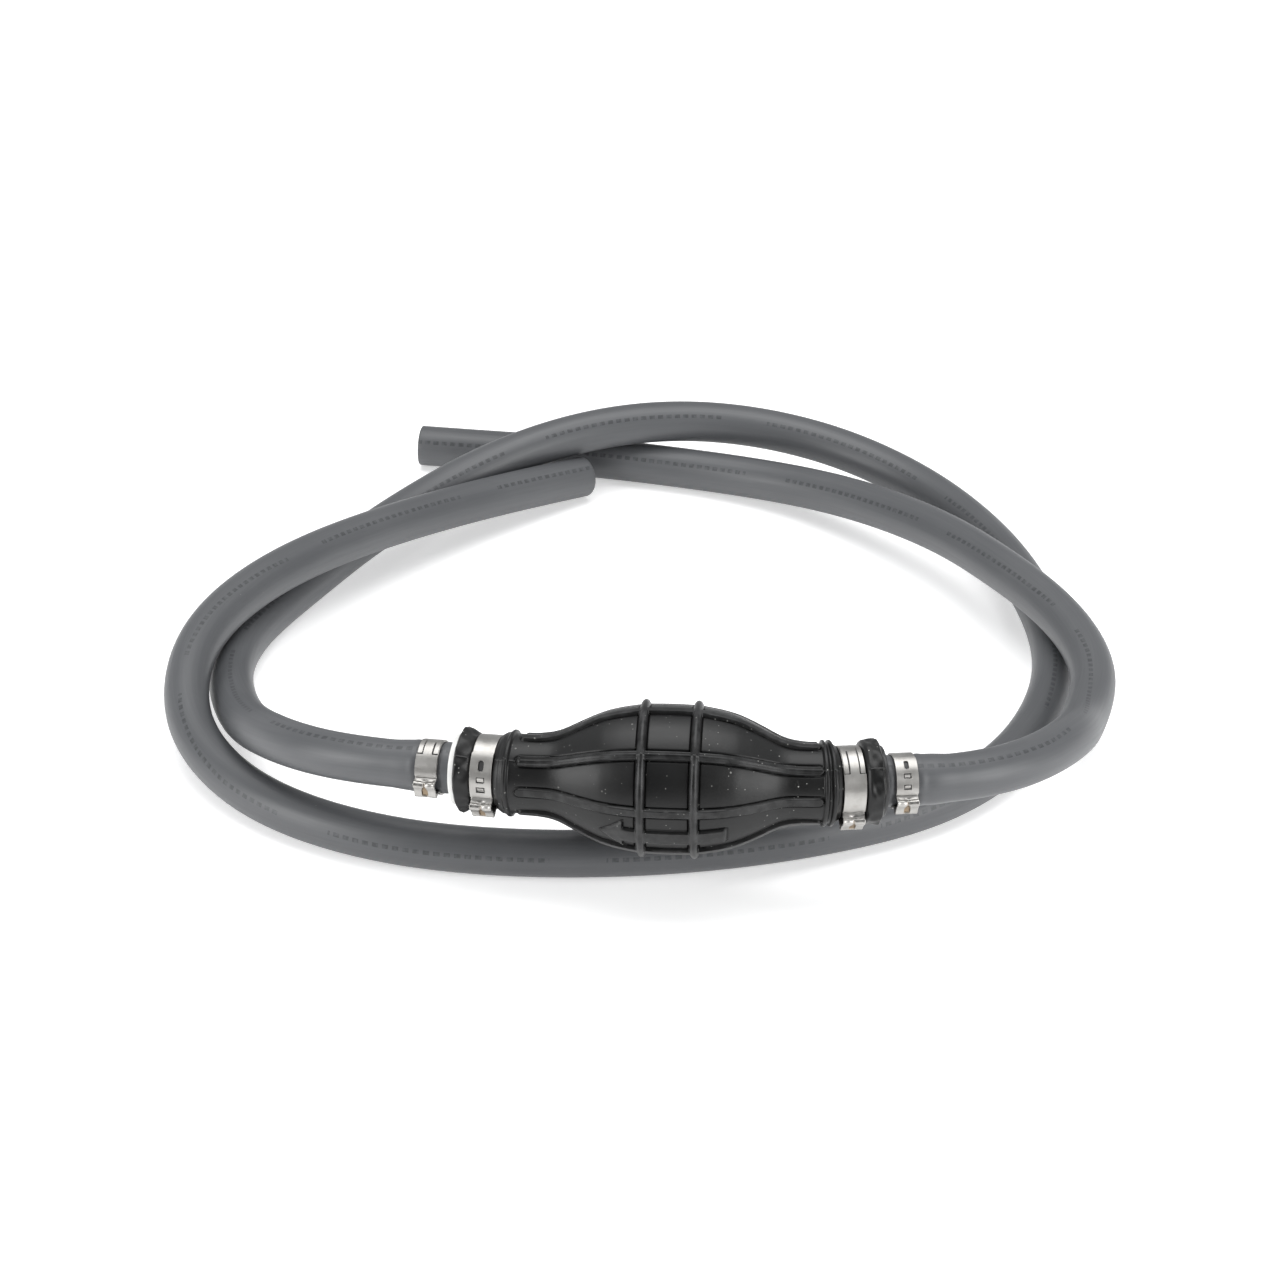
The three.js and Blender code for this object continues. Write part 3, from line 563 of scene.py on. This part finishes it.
def plate(name, end, u0, r_in, r_out, a_lo, a_hi, width, keep, bevel=0.07, step=0.24, lift=None):
    """a curved strip lying on a band, cut by keep(alpha, w); a_lo..a_hi in degrees from -Y towards +Z"""
    na = max(6, int(rad(abs(a_hi - a_lo)) * r_out / step))
    nw = max(6, int(width / step))
    A, W = np.linspace(a_lo, a_hi, na + 1), np.linspace(-width / 2, width / 2, nw + 1)
    ac, wc = (A[1:] + A[:-1]) / 2, (W[1:] + W[:-1]) / 2
    mask = np.array([[bool(keep(a, w)) for w in wc] for a in ac])
    Ag, Wg = np.meshgrid(A, W, indexing="ij")
    rise = lift(Ag, Wg) if lift else 0 * Ag
    th = np.vectorize(end.angle)(Ag)
    bm = bmesh.new()
    vt, vb = {}, {}

    def vert(store, i, j, r):
        if (i, j) not in store:
            rr = r + rise[i, j]
            p = end.place(np.array([u0 + Wg[i, j], rr * math.cos(th[i, j]), rr * math.sin(th[i, j])])) * MM
            store[(i, j)] = bm.verts.new(p)
        return store[(i, j)]

    for i in range(na):
        for j in range(nw):
            if not mask[i, j]:
                continue
            c = [(i, j), (i + 1, j), (i + 1, j + 1), (i, j + 1)]
            bm.faces.new([vert(vt, *p, r_out) for p in c])
            bm.faces.new([vert(vb, *p, r_in) for p in reversed(c)])
            for di, dj, p, q in ((-1, 0, c[3], c[0]), (1, 0, c[1], c[2]), (0, -1, c[0], c[1]), (0, 1, c[2], c[3])):
                ni, nj = i + di, j + dj
                if not (0 <= ni < na and 0 <= nj < nw and mask[ni, nj]):
                    bm.faces.new([vert(vt, *q, r_out), vert(vt, *p, r_out), vert(vb, *p, r_in), vert(vb, *q, r_in)])
    bmesh.ops.recalc_face_normals(bm, faces=bm.faces)
    me = bpy.data.meshes.new(name)
    bm.to_mesh(me)
    bm.free()
    me.polygons.foreach_set("use_smooth", [True] * len(me.polygons))
    me.set_sharp_from_angle(angle=rad(40))
    o = bpy.data.objects.new(name, me)
    scene.collection.objects.link(o)
    if bevel:
        m = o.modifiers.new("edges", "BEVEL")
        m.width, m.segments, m.limit_method, m.angle_limit = bevel * MM, 2, "ANGLE", rad(50)
        m.harden_normals = False
    return o


def rounded_slot(a, w, a0, w0, ha, hw, r, radius):
    """distance inside a rounded rectangle centred on (a0, w0), half sizes in mm"""
    x, y = abs(rad(a - a0) * r) - (ha - radius), abs(w - w0) - (hw - radius)
    return radius - (math.hypot(max(x, 0), max(y, 0)) + min(max(x, y), 0))


# dark sheets laid in the clamps' holes and gaps: painted shade, and in the windows also the dark rubber seen through
PAINTED_SHADE_SHEETS = []


def window_clamp(tag, end, u0, width, r_in, ear, half, tall, top, slots):
    """the outer lap with hook windows over the band"""
    o = band(tag, end, u0, width, r_in, 0.7, ear, half, tall)
    r0 = r_in + 0.7
    w2 = width / 2

    def keep(a, w):
        if abs(w) > w2 - 0.02:
            return False
        # rounded upper corners
        if a > top - 6 and rounded_slot(a, w, top - 12, 0, rad(12) * r0, w2, r0, 1.0) < 0:
            return False
        return all(rounded_slot(a, w, a0, w0, ha, hw, r0, rd) < 0 for a0, w0, ha, hw, rd in slots)

    lap = plate(tag + "_lap", end, u0, r0 + 0.02, r0 + 0.52, ear + math.degrees((half + 1.1) / r0), top, width, keep)
    hooks, hole_shade_sheets = [], []
    # a dark sheet under each window stands for the dark rubber seen through the hole and for painted shade inside it
    for i, (a0, w0, ha, hw, rd) in enumerate(slots):
        span = math.degrees((ha + 0.15) / r0)
        hole_shade_sheets.append(plate(f"{tag}_slot{i}", end, u0, r0 - 0.25, r0 + 0.05, a0 - span, a0 + span, 2 * hw + 0.3, lambda a, w: True, bevel=0, step=0.4))
    for i, (a0, w0, ha, hw, rd) in enumerate(slots[1:]):
        # a hook pressed up from the inner strip shows in each window but the first
        def hook_keep(a, w, a0=a0, w0=w0, ha=ha, hw=hw):
            return abs(w - w0) < hw - 0.35 and abs(rad(a - a0) * r0) < ha * 0.62

        def hook_lift(A, W, a0=a0, ha=ha):
            t = rad(1) * (A - a0) * r0
            return 0.42 * smoothstep((t + ha * 0.6) / (ha * 1.2))
        span = math.degrees(ha / r0)
        hooks.append(plate(f"{tag}_hook{i}", end, u0, r0 - 0.3, r0 + 0.14, a0 - span, a0 + span, width, hook_keep, bevel=0.04, step=0.16, lift=hook_lift))
    PAINTED_SHADE_SHEETS.extend(hole_shade_sheets)
    return [o, lap] + hooks + hole_shade_sheets


def tongue_clamp(tag, end, u0, width, r_in, ear, half, tall, shoulder, top):
    """the outer lap with a tongue running up between two shoulders"""
    o = band(tag, end, u0, width, r_in, 0.7, ear, half, tall)
    r0 = r_in + 0.7
    w2 = width / 2
    tongue = width * 0.21

    def keep(a, w):
        if abs(w) > w2 - 0.02:
            return False
        if a < shoulder:
            return True
        rise = rad(a - shoulder) * r0
        half = tongue
        if rad(top - a) * r0 < 0.7:
            half = min(half, tongue - 0.7 + math.sqrt(max(0, 0.49 - (0.7 - rad(top - a) * r0) ** 2)))
        return abs(w) < half

    lap = plate(tag + "_lap", end, u0, r0 + 0.02, r0 + 0.52, ear + math.degrees((half + 1.1) / r0), top, width, keep, step=0.2)
    # the inner strip's own shoulders end beside the tongue
    def side_keep(a, w):
        rise = rad(a - shoulder) * r0
        return w2 - 0.1 > abs(w) > tongue + 0.42 and rise > 0.4

    sides = plate(tag + "_sides", end, u0, r0 + 0.02, r0 + 0.34, shoulder, top + 14, width, side_keep, step=0.2)
    # painted shade: a dark sheet under the gaps beside the tongue and along the shoulders
    def gap_shade_keep(a, w):
        rise = rad(a - shoulder) * r0
        return (tongue - 0.2 < abs(w) < tongue + 0.62) if rise > 0.5 else (rise > -0.2 and abs(w) < w2 - 0.1)

    gap_shade_sheet = plate(tag + "_gaps", end, u0, r0 - 0.25, r0 + 0.05, shoulder - 1, top + 3, width, gap_shade_keep, bevel=0, step=0.2)
    PAINTED_SHADE_SHEETS.append(gap_shade_sheet)
    return [o, lap, sides, gap_shade_sheet]


CLAMP_W, BULB_RI, HOSE_RI = 7.4, 11.5, 8.42
SLOTS_BULB = [(37.5, 0, 1.8, 0.95, 0.85), (16.5, 0, 0.95, 1.45, 0.3), (1.0, 0, 0.95, 1.45, 0.3)]
SLOTS_HOSE = [(62, 0, 1.45, 0.8, 0.7), (38.5, 0, 0.8, 1.3, 0.28), (17.5, 0, 0.8, 1.3, 0.28)]
CLAMPS = {
    "bulb_clamp_left": window_clamp("bulb_clamp_left_band", LEFT, LEFT.bulb_clamp, CLAMP_W, BULB_RI, -32, 3.1, 3.4, 60, SLOTS_BULB),
    "hose_clamp_left": tongue_clamp("hose_clamp_left_band", LEFT, LEFT.hose_clamp, CLAMP_W, HOSE_RI, -13, 2.8, 3.0, 55, 88),
    "bulb_clamp_right": tongue_clamp("bulb_clamp_right_band", RIGHT, RIGHT.bulb_clamp, CLAMP_W, BULB_RI, -38, 3.1, 3.4, 42, 84),
    "hose_clamp_right": window_clamp("hose_clamp_right_band", RIGHT, RIGHT.hose_clamp, CLAMP_W, HOSE_RI, -21, 2.8, 3.0, 84, SLOTS_HOSE),
}
for node, parts in CLAMPS.items():
    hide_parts(node)


# ------------------------------------------------------------------ materials
def material(name):
    m = bpy.data.materials.new(name)
    m.use_nodes = True
    nt = m.node_tree
    nt.nodes.clear()
    out = nt.nodes.new("ShaderNodeOutputMaterial")
    bsdf = nt.nodes.new("ShaderNodeBsdfPrincipled")
    nt.links.new(bsdf.outputs[0], out.inputs[0])
    return m, nt, bsdf


def node(nt, kind, **inputs):
    n = nt.nodes.new(kind)
    for k, v in inputs.items():
        if k.startswith("_"):
            setattr(n, k[1:], v)
        else:
            key = k.replace("__", " ")
            if isinstance(v, bpy.types.NodeSocket):
                nt.links.new(v, n.inputs[key])
            else:
                n.inputs[key].default_value = v
    return n


def math_(nt, op, a, b=None, clamp=False):
    n = nt.nodes.new("ShaderNodeMath")
    n.operation = op
    n.use_clamp = clamp
    for i, v in enumerate((a, b)):
        if v is None:
            continue
        if isinstance(v, bpy.types.NodeSocket):
            nt.links.new(v, n.inputs[i])
        else:
            n.inputs[i].default_value = v
    return n.outputs[0]


def ramp(nt, fac, stops):
    n = nt.nodes.new("ShaderNodeValToRGB")
    el = n.color_ramp.elements
    while len(el) < len(stops):
        el.new(0.5)
    for e, (p, c) in zip(el, stops):
        e.position = p
        e.color = c if len(c) == 4 else (*c, 1)
    nt.links.new(fac, n.inputs[0])
    return n.outputs[0]


def mapped(nt, scale=(1, 1, 1), rot=(0, 0, 0)):
    tc = nt.nodes.new("ShaderNodeTexCoord")
    mp = nt.nodes.new("ShaderNodeMapping")
    mp.inputs["Scale"].default_value = scale
    mp.inputs["Rotation"].default_value = rot
    nt.links.new(tc.outputs["Object"], mp.inputs["Vector"])
    return mp.outputs[0]


def noise(nt, vec, scale, detail=3.0, rough=0.5, dist=0.0):
    n = node(nt, "ShaderNodeTexNoise", Vector=vec, Scale=scale, Detail=detail, Roughness=rough, Distortion=dist)
    return n.outputs["Fac"]


def mix_color(nt, fac, a, b):
    n = nt.nodes.new("ShaderNodeMix")
    n.data_type = "RGBA"
    for key, v in ((0, fac), (6, a), (7, b)):
        if isinstance(v, bpy.types.NodeSocket):
            nt.links.new(v, n.inputs[key])
        else:
            n.inputs[key].default_value = v if key == 0 else (v if len(v) == 4 else (*v, 1))
    return n.outputs[2]


def bump(nt, height, strength, distance, normal=None):
    n = node(nt, "ShaderNodeBump", Height=height, Strength=strength, Distance=distance)
    if normal is not None:
        nt.links.new(normal, n.inputs["Normal"])
    return n.outputs[0]


def attr(nt, name):
    n = nt.nodes.new("ShaderNodeAttribute")
    n.attribute_name = name
    return n.outputs["Fac"]


def specks(nt, vec, scale, size, share):
    """small scattered dots: 1 on a dot and 0 off it"""
    v = nt.nodes.new("ShaderNodeTexVoronoi")
    v.inputs["Scale"].default_value = scale
    nt.links.new(vec, v.inputs["Vector"])
    close = ramp(nt, v.outputs["Distance"], [(size * 0.6, (1, 1, 1)), (size, (0, 0, 0))])
    sep = nt.nodes.new("ShaderNodeSeparateColor")
    nt.links.new(v.outputs["Color"], sep.inputs[0])
    pick = math_(nt, "GREATER_THAN", sep.outputs[0], 1 - share)
    return math_(nt, "MULTIPLY", close, pick)


def rubber_bulb():
    m, nt, b = material("bulb_moulded_rubber")
    vec = mapped(nt)
    along = mapped(nt, (0.16, 1, 1))
    cloud = noise(nt, vec, 55, 4, 0.55)
    fine = noise(nt, vec, 900, 3, 0.6)
    drag = noise(nt, along, 420, 4, 0.65)
    col = ramp(nt, cloud, [(0.3, (0.0042, 0.0043, 0.0044)), (0.55, (0.0058, 0.0059, 0.0060)), (0.8, (0.009, 0.0091, 0.009))])
    # lighter patches on what stands proud: the ribs, beads, arrow and pad
    edge = attr(nt, "raised")
    proud_lighter = math_(nt, "MULTIPLY", edge, ramp(nt, noise(nt, vec, 210, 4, 0.6), [(0.42, (0, 0, 0)), (0.7, (1, 1, 1))]))
    col = mix_color(nt, math_(nt, "MULTIPLY", proud_lighter, 0.5), col, (0.055, 0.055, 0.056))
    # painted shade: the grooves at the foot of each rib and bead are darkened
    col = mix_color(nt, math_(nt, "MULTIPLY", attr(nt, "groove"), 0.8), col, (0.002, 0.002, 0.002))
    # scuffs and dust
    scuff_v = mapped(nt, (1, 0.22, 0.3), (0.4, 0.7, 0.3))
    scuff = ramp(nt, noise(nt, scuff_v, 260, 5, 0.7, 0.4), [(0.66, (0, 0, 0)), (0.74, (1, 1, 1))])
    patch = ramp(nt, noise(nt, vec, 38, 2, 0.5), [(0.5, (0, 0, 0)), (0.66, (1, 1, 1))])
    scuff = math_(nt, "MULTIPLY", scuff, patch)
    col = mix_color(nt, math_(nt, "MULTIPLY", scuff, 0.22), col, (0.18, 0.18, 0.18))
    dust = math_(nt, "MAXIMUM", specks(nt, vec, 340, 0.13, 0.16), specks(nt, vec, 760, 0.20, 0.09))
    region = ramp(nt, noise(nt, vec, 30, 2, 0.5), [(0.36, (0.2, 0.2, 0.2)), (0.62, (1, 1, 1))])
    # dust gathers on the necks
    necks = ramp(nt, math_(nt, "ABSOLUTE", attr(nt, "bx")), [(0.028, (0.45, 0.45, 0.45)), (0.05, (1, 1, 1))])
    region = math_(nt, "MULTIPLY", region, necks)
    dust = math_(nt, "MULTIPLY", dust, region)
    col = mix_color(nt, math_(nt, "MULTIPLY", dust, 0.75), col, (0.55, 0.55, 0.52))
    nt.links.new(col, b.inputs["Base Color"])
    r = math_(nt, "ADD", math_(nt, "MULTIPLY", cloud, 0.16), 0.27)
    r = math_(nt, "ADD", r, math_(nt, "MULTIPLY", drag, 0.10))
    r = math_(nt, "ADD", r, math_(nt, "MULTIPLY", dust, 0.3))
    r = math_(nt, "ADD", r, math_(nt, "MULTIPLY", scuff, 0.18), True)
    nt.links.new(r, b.inputs["Roughness"])
    n1 = bump(nt, fine, 0.22, 0.00009)
    n2 = bump(nt, drag, 0.12, 0.00012, n1)
    n3 = bump(nt, noise(nt, vec, 130, 3, 0.5), 0.12, 0.0004, n2)
    nt.links.new(n3, b.inputs["Normal"])
    # painted shade: less specular reflection in the grooves
    spec = math_(nt, "SUBTRACT", 0.36, math_(nt, "MULTIPLY", attr(nt, "groove"), 0.30), True)
    nt.links.new(spec, b.inputs["Specular IOR Level"])
    return m


def hose_rubber():
    m, nt, b = material("hose_grey_rubber")
    vec = mapped(nt)
    s, a = attr(nt, "along"), attr(nt, "round")
    comb = nt.nodes.new("ShaderNodeCombineXYZ")
    nt.links.new(math_(nt, "MULTIPLY", s, 3.0), comb.inputs[0])
    ang = math_(nt, "MULTIPLY", a, 2 * math.pi)
    nt.links.new(math_(nt, "COSINE", ang), comb.inputs[1])
    nt.links.new(math_(nt, "SINE", ang), comb.inputs[2])
    streak = noise(nt, comb.outputs[0], 9.0, 5, 0.6)
    cloud = noise(nt, vec, 26, 3, 0.5)
    fine = noise(nt, vec, 1500, 2, 0.6)
    col = ramp(nt, cloud, [(0.3, (0.074, 0.077, 0.082)), (0.7, (0.090, 0.093, 0.098))])
    col = mix_color(nt, ramp(nt, streak, [(0.35, (0, 0, 0)), (0.75, (0.5, 0.5, 0.5))]), col, (0.064, 0.067, 0.072))
    dust = specks(nt, vec, 300, 0.06, 0.035)
    col = mix_color(nt, math_(nt, "MULTIPLY", dust, 0.35), col, (0.36, 0.36, 0.36))
    # the maker's line of small print, drawn here only as a plain row of dashes
    across = math_(nt, "ABSOLUTE", attr(nt, "mark_across"))
    line_on = math_(nt, "MULTIPLY", math_(nt, "LESS_THAN", across, 0.75), math_(nt, "GREATER_THAN", attr(nt, "mark_side"), 0.0))
    pitch = math_(nt, "FRACT", math_(nt, "DIVIDE", s, 0.0034))
    dash = math_(nt, "MULTIPLY", math_(nt, "LESS_THAN", pitch, 0.62), math_(nt, "LESS_THAN", math_(nt, "FRACT", math_(nt, "DIVIDE", s, 0.092)), 0.80))
    ink = math_(nt, "MULTIPLY", math_(nt, "MULTIPLY", line_on, dash), ramp(nt, noise(nt, vec, 700, 2, 0.5), [(0.35, (0.35, 0.35, 0.35)), (0.6, (1, 1, 1))]))
    col = mix_color(nt, math_(nt, "MULTIPLY", ink, 0.62), col, (0.016, 0.017, 0.02))
    # painted shade: the inside of the bore is darkened
    inside = attr(nt, "inside")
    col = mix_color(nt, math_(nt, "MULTIPLY", inside, 0.85), col, (0.02, 0.02, 0.021))
    nt.links.new(col, b.inputs["Base Color"])
    r = math_(nt, "ADD", math_(nt, "MULTIPLY", cloud, 0.08), 0.36)
    r = math_(nt, "ADD", r, math_(nt, "MULTIPLY", streak, 0.10), True)
    nt.links.new(r, b.inputs["Roughness"])
    n1 = bump(nt, fine, 0.10, 0.00006)
    n2 = bump(nt, streak, 0.06, 0.0003, n1)
    nt.links.new(n2, b.inputs["Normal"])
    b.inputs["Specular IOR Level"].default_value = 0.55
    return m


def stainless(name, direction):
    m, nt, b = material(name)
    vec = mapped(nt)
    along = mapped(nt, (1.0, 0.05, 0.05))
    line = noise(nt, along, 2600, 4, 0.7)
    cloud = noise(nt, vec, 160, 4, 0.6)
    stain = noise(nt, vec, 420, 3, 0.6)
    col = ramp(nt, cloud, [(0.3, (0.33, 0.32, 0.305)), (0.7, (0.45, 0.442, 0.425))])
    col = mix_color(nt, ramp(nt, stain, [(0.55, (0, 0, 0)), (0.8, (0.35, 0.35, 0.35))]), col, (0.27, 0.245, 0.21))
    col = mix_color(nt, math_(nt, "MULTIPLY", attr(nt, "pit"), 0.75), col, (0.20, 0.13, 0.06))
    nt.links.new(col, b.inputs["Base Color"])
    b.inputs["Metallic"].default_value = 1.0
    r = math_(nt, "ADD", math_(nt, "MULTIPLY", line, 0.16), 0.22)
    r = math_(nt, "ADD", r, math_(nt, "MULTIPLY", cloud, 0.14), True)
    nt.links.new(r, b.inputs["Roughness"])
    n1 = bump(nt, line, 0.16, 0.00005)
    n2 = bump(nt, cloud, 0.10, 0.0002, n1)
    nt.links.new(n2, b.inputs["Normal"])
    return m


def plastic(name, lo, hi, rough):
    m, nt, b = material(name)
    vec = mapped(nt)
    cloud = noise(nt, vec, 140, 4, 0.55)
    fine = noise(nt, vec, 1800, 2, 0.5)
    col = ramp(nt, cloud, [(0.3, lo), (0.7, hi)])
    col = mix_color(nt, math_(nt, "MULTIPLY", specks(nt, vec, 420, 0.14, 0.05), 0.3), col, tuple(0.5 * (x + y) * 0.5 + 0.05 for x, y in zip(lo, hi)))
    nt.links.new(col, b.inputs["Base Color"])
    nt.links.new(math_(nt, "ADD", math_(nt, "MULTIPLY", cloud, 0.14), rough, True), b.inputs["Roughness"])
    nt.links.new(bump(nt, fine, 0.14, 0.00005), b.inputs["Normal"])
    return m


MAT_BULB, MAT_HOSE = rubber_bulb(), hose_rubber()
MAT_STEEL = stainless("clamp_stainless", 0)
MAT_SPRING = stainless("spring_wire_stainless", 1)
MAT_WHITE = plastic("white_acetal", (0.74, 0.74, 0.72), (0.84, 0.84, 0.82), 0.32)
# black acetal for the right fitting and most valve parts, also used for the painted shade sheets in the clamps
MAT_BLACK_AND_SHADE = plastic("black_acetal_and_painted_shade", (0.012, 0.012, 0.013), (0.03, 0.03, 0.031), 0.36)
MAT_SEAL = plastic("seal_nitrile", (0.014, 0.014, 0.014), (0.028, 0.028, 0.028), 0.6)


def paint(o, m):
    o.data.materials.clear()
    o.data.materials.append(m)


for o in (bulb_upper, bulb_lower):
    paint(o, MAT_BULB)
for o in (hose_left, hose_right):
    paint(o, MAT_HOSE)
paint(fit_left, MAT_WHITE)
paint(fit_right, MAT_BLACK_AND_SHADE)
for parts in CLAMPS.values():
    for p in parts:
        # the sheets under holes and gaps take the black material as painted shade
        paint(p, MAT_BLACK_AND_SHADE if p in PAINTED_SHADE_SHEETS else MAT_STEEL)
for name, o in NODES.items():
    if "spring" in name:
        paint(o, MAT_SPRING)
    elif "seal" in name:
        paint(o, MAT_SEAL)
    elif "valve" in name:
        paint(o, MAT_WHITE if name == "inlet_valve_poppet" else MAT_BLACK_AND_SHADE)

# ------------------------------------------------------------------ what each piece rides on
for o in (fit_left, fit_right):
    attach(o, "line")
for parts in CLAMPS.values():
    for p in parts:
        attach(p, "line")
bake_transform(bulb_upper)
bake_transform(bulb_lower)

# each valve spring stands on the fitting; it is copied into a wire of its own and the original hidden, and its ends
# along the axis are found but not used
for tag, end in (("inlet", RIGHT), ("outlet", LEFT)):
    spring, poppet = NODES[tag + "_valve_spring"], NODES[tag + "_valve_poppet"]
    us = [(np.array(spring.matrix_world @ v.co) / MM - end.pos) @ end.d for v in spring.data.vertices]
    up = [(np.array(poppet.matrix_world @ v.co) / MM - end.pos) @ end.d for v in poppet.data.vertices]
    far, near = (max(us), min(us)) if sum(up) / len(up) < sum(us) / len(us) else (min(us), max(us))
    wire = bpy.data.objects.new(tag + "_spring_wire", spring.data.copy())
    wire.data.transform(spring.matrix_world)
    scene.collection.objects.link(wire)
    paint(wire, MAT_SPRING)
    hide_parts(tag + "_valve_spring")
    tuple(end.at(far) * MM)
    tuple(end.at(near) * MM)
    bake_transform(wire)

# ------------------------------------------------------------------ floor and studio light
FLOOR_Z = -0.0417


def floor_material():
    m, nt, b = material("studio_floor")
    vec = mapped(nt)
    col = ramp(nt, noise(nt, vec, 3, 2, 0.5), [(0.3, (0.90, 0.90, 0.90)), (0.7, (0.915, 0.915, 0.915))])
    nt.links.new(col, b.inputs["Base Color"])
    b.inputs["Roughness"].default_value = 0.55
    b.inputs["Specular IOR Level"].default_value = 0.3
    b.inputs["Emission Color"].default_value = (1, 1, 1, 1)
    b.inputs["Emission Strength"].default_value = 0.42
    return m


fl = bpy.data.meshes.new("floor")
fl.from_pydata([(-5, -5, FLOOR_Z), (5, -5, FLOOR_Z), (5, 7, FLOOR_Z), (-5, 7, FLOOR_Z)], [], [(0, 1, 2, 3)])
floor = bpy.data.objects.new("floor", fl)
scene.collection.objects.link(floor)
paint(floor, floor_material())

world = bpy.data.worlds.new("studio")
scene.world = world
world.use_nodes = True
wt = world.node_tree
bg = wt.nodes["Background"]
# a light tent, open and dim on the side nearest the viewer
wtc = wt.nodes.new("ShaderNodeTexCoord")
wdot = wt.nodes.new("ShaderNodeVectorMath")
wdot.operation = "DOT_PRODUCT"
wdot.inputs[1].default_value = (0.0, 0.62, 0.785)
wt.links.new(wtc.outputs["Generated"], wdot.inputs[0])
wr = wt.nodes.new("ShaderNodeMapRange")
wr.inputs["From Min"].default_value, wr.inputs["From Max"].default_value = -0.25, 0.75
wr.inputs["To Min"].default_value, wr.inputs["To Max"].default_value = 0.03, 0.52
wr.interpolation_type = "SMOOTHSTEP"
wt.links.new(wdot.outputs["Value"], wr.inputs["Value"])
wt.links.new(wr.outputs[0], bg.inputs[1])
bg.inputs[0].default_value = (0.97, 0.985, 1.0, 1)


def area(name, loc, target, sx, sy, power, color=(1, 1, 1)):
    l = bpy.data.lights.new(name, "AREA")
    l.shape, l.size, l.size_y, l.energy, l.color = "RECTANGLE", sx, sy, power, color
    o = bpy.data.objects.new(name, l)
    scene.collection.objects.link(o)
    o.location = loc
    o.rotation_euler = (Vector(target) - Vector(loc)).to_track_quat("-Z", "Y").to_euler()
    return o


area("top_softbox", (0.0, 0.35, 1.5), (0, 0.12, 0), 1.7, 1.2, 21.0)
area("left_softbox", (-1.05, -0.48, 0.38), (0, 0.05, 0), 0.7, 0.75, 9.5)
area("right_softbox", (1.05, -0.52, 0.36), (0, 0.05, 0), 0.7, 0.75, 10.5)

bpy.context.view_layer.update()
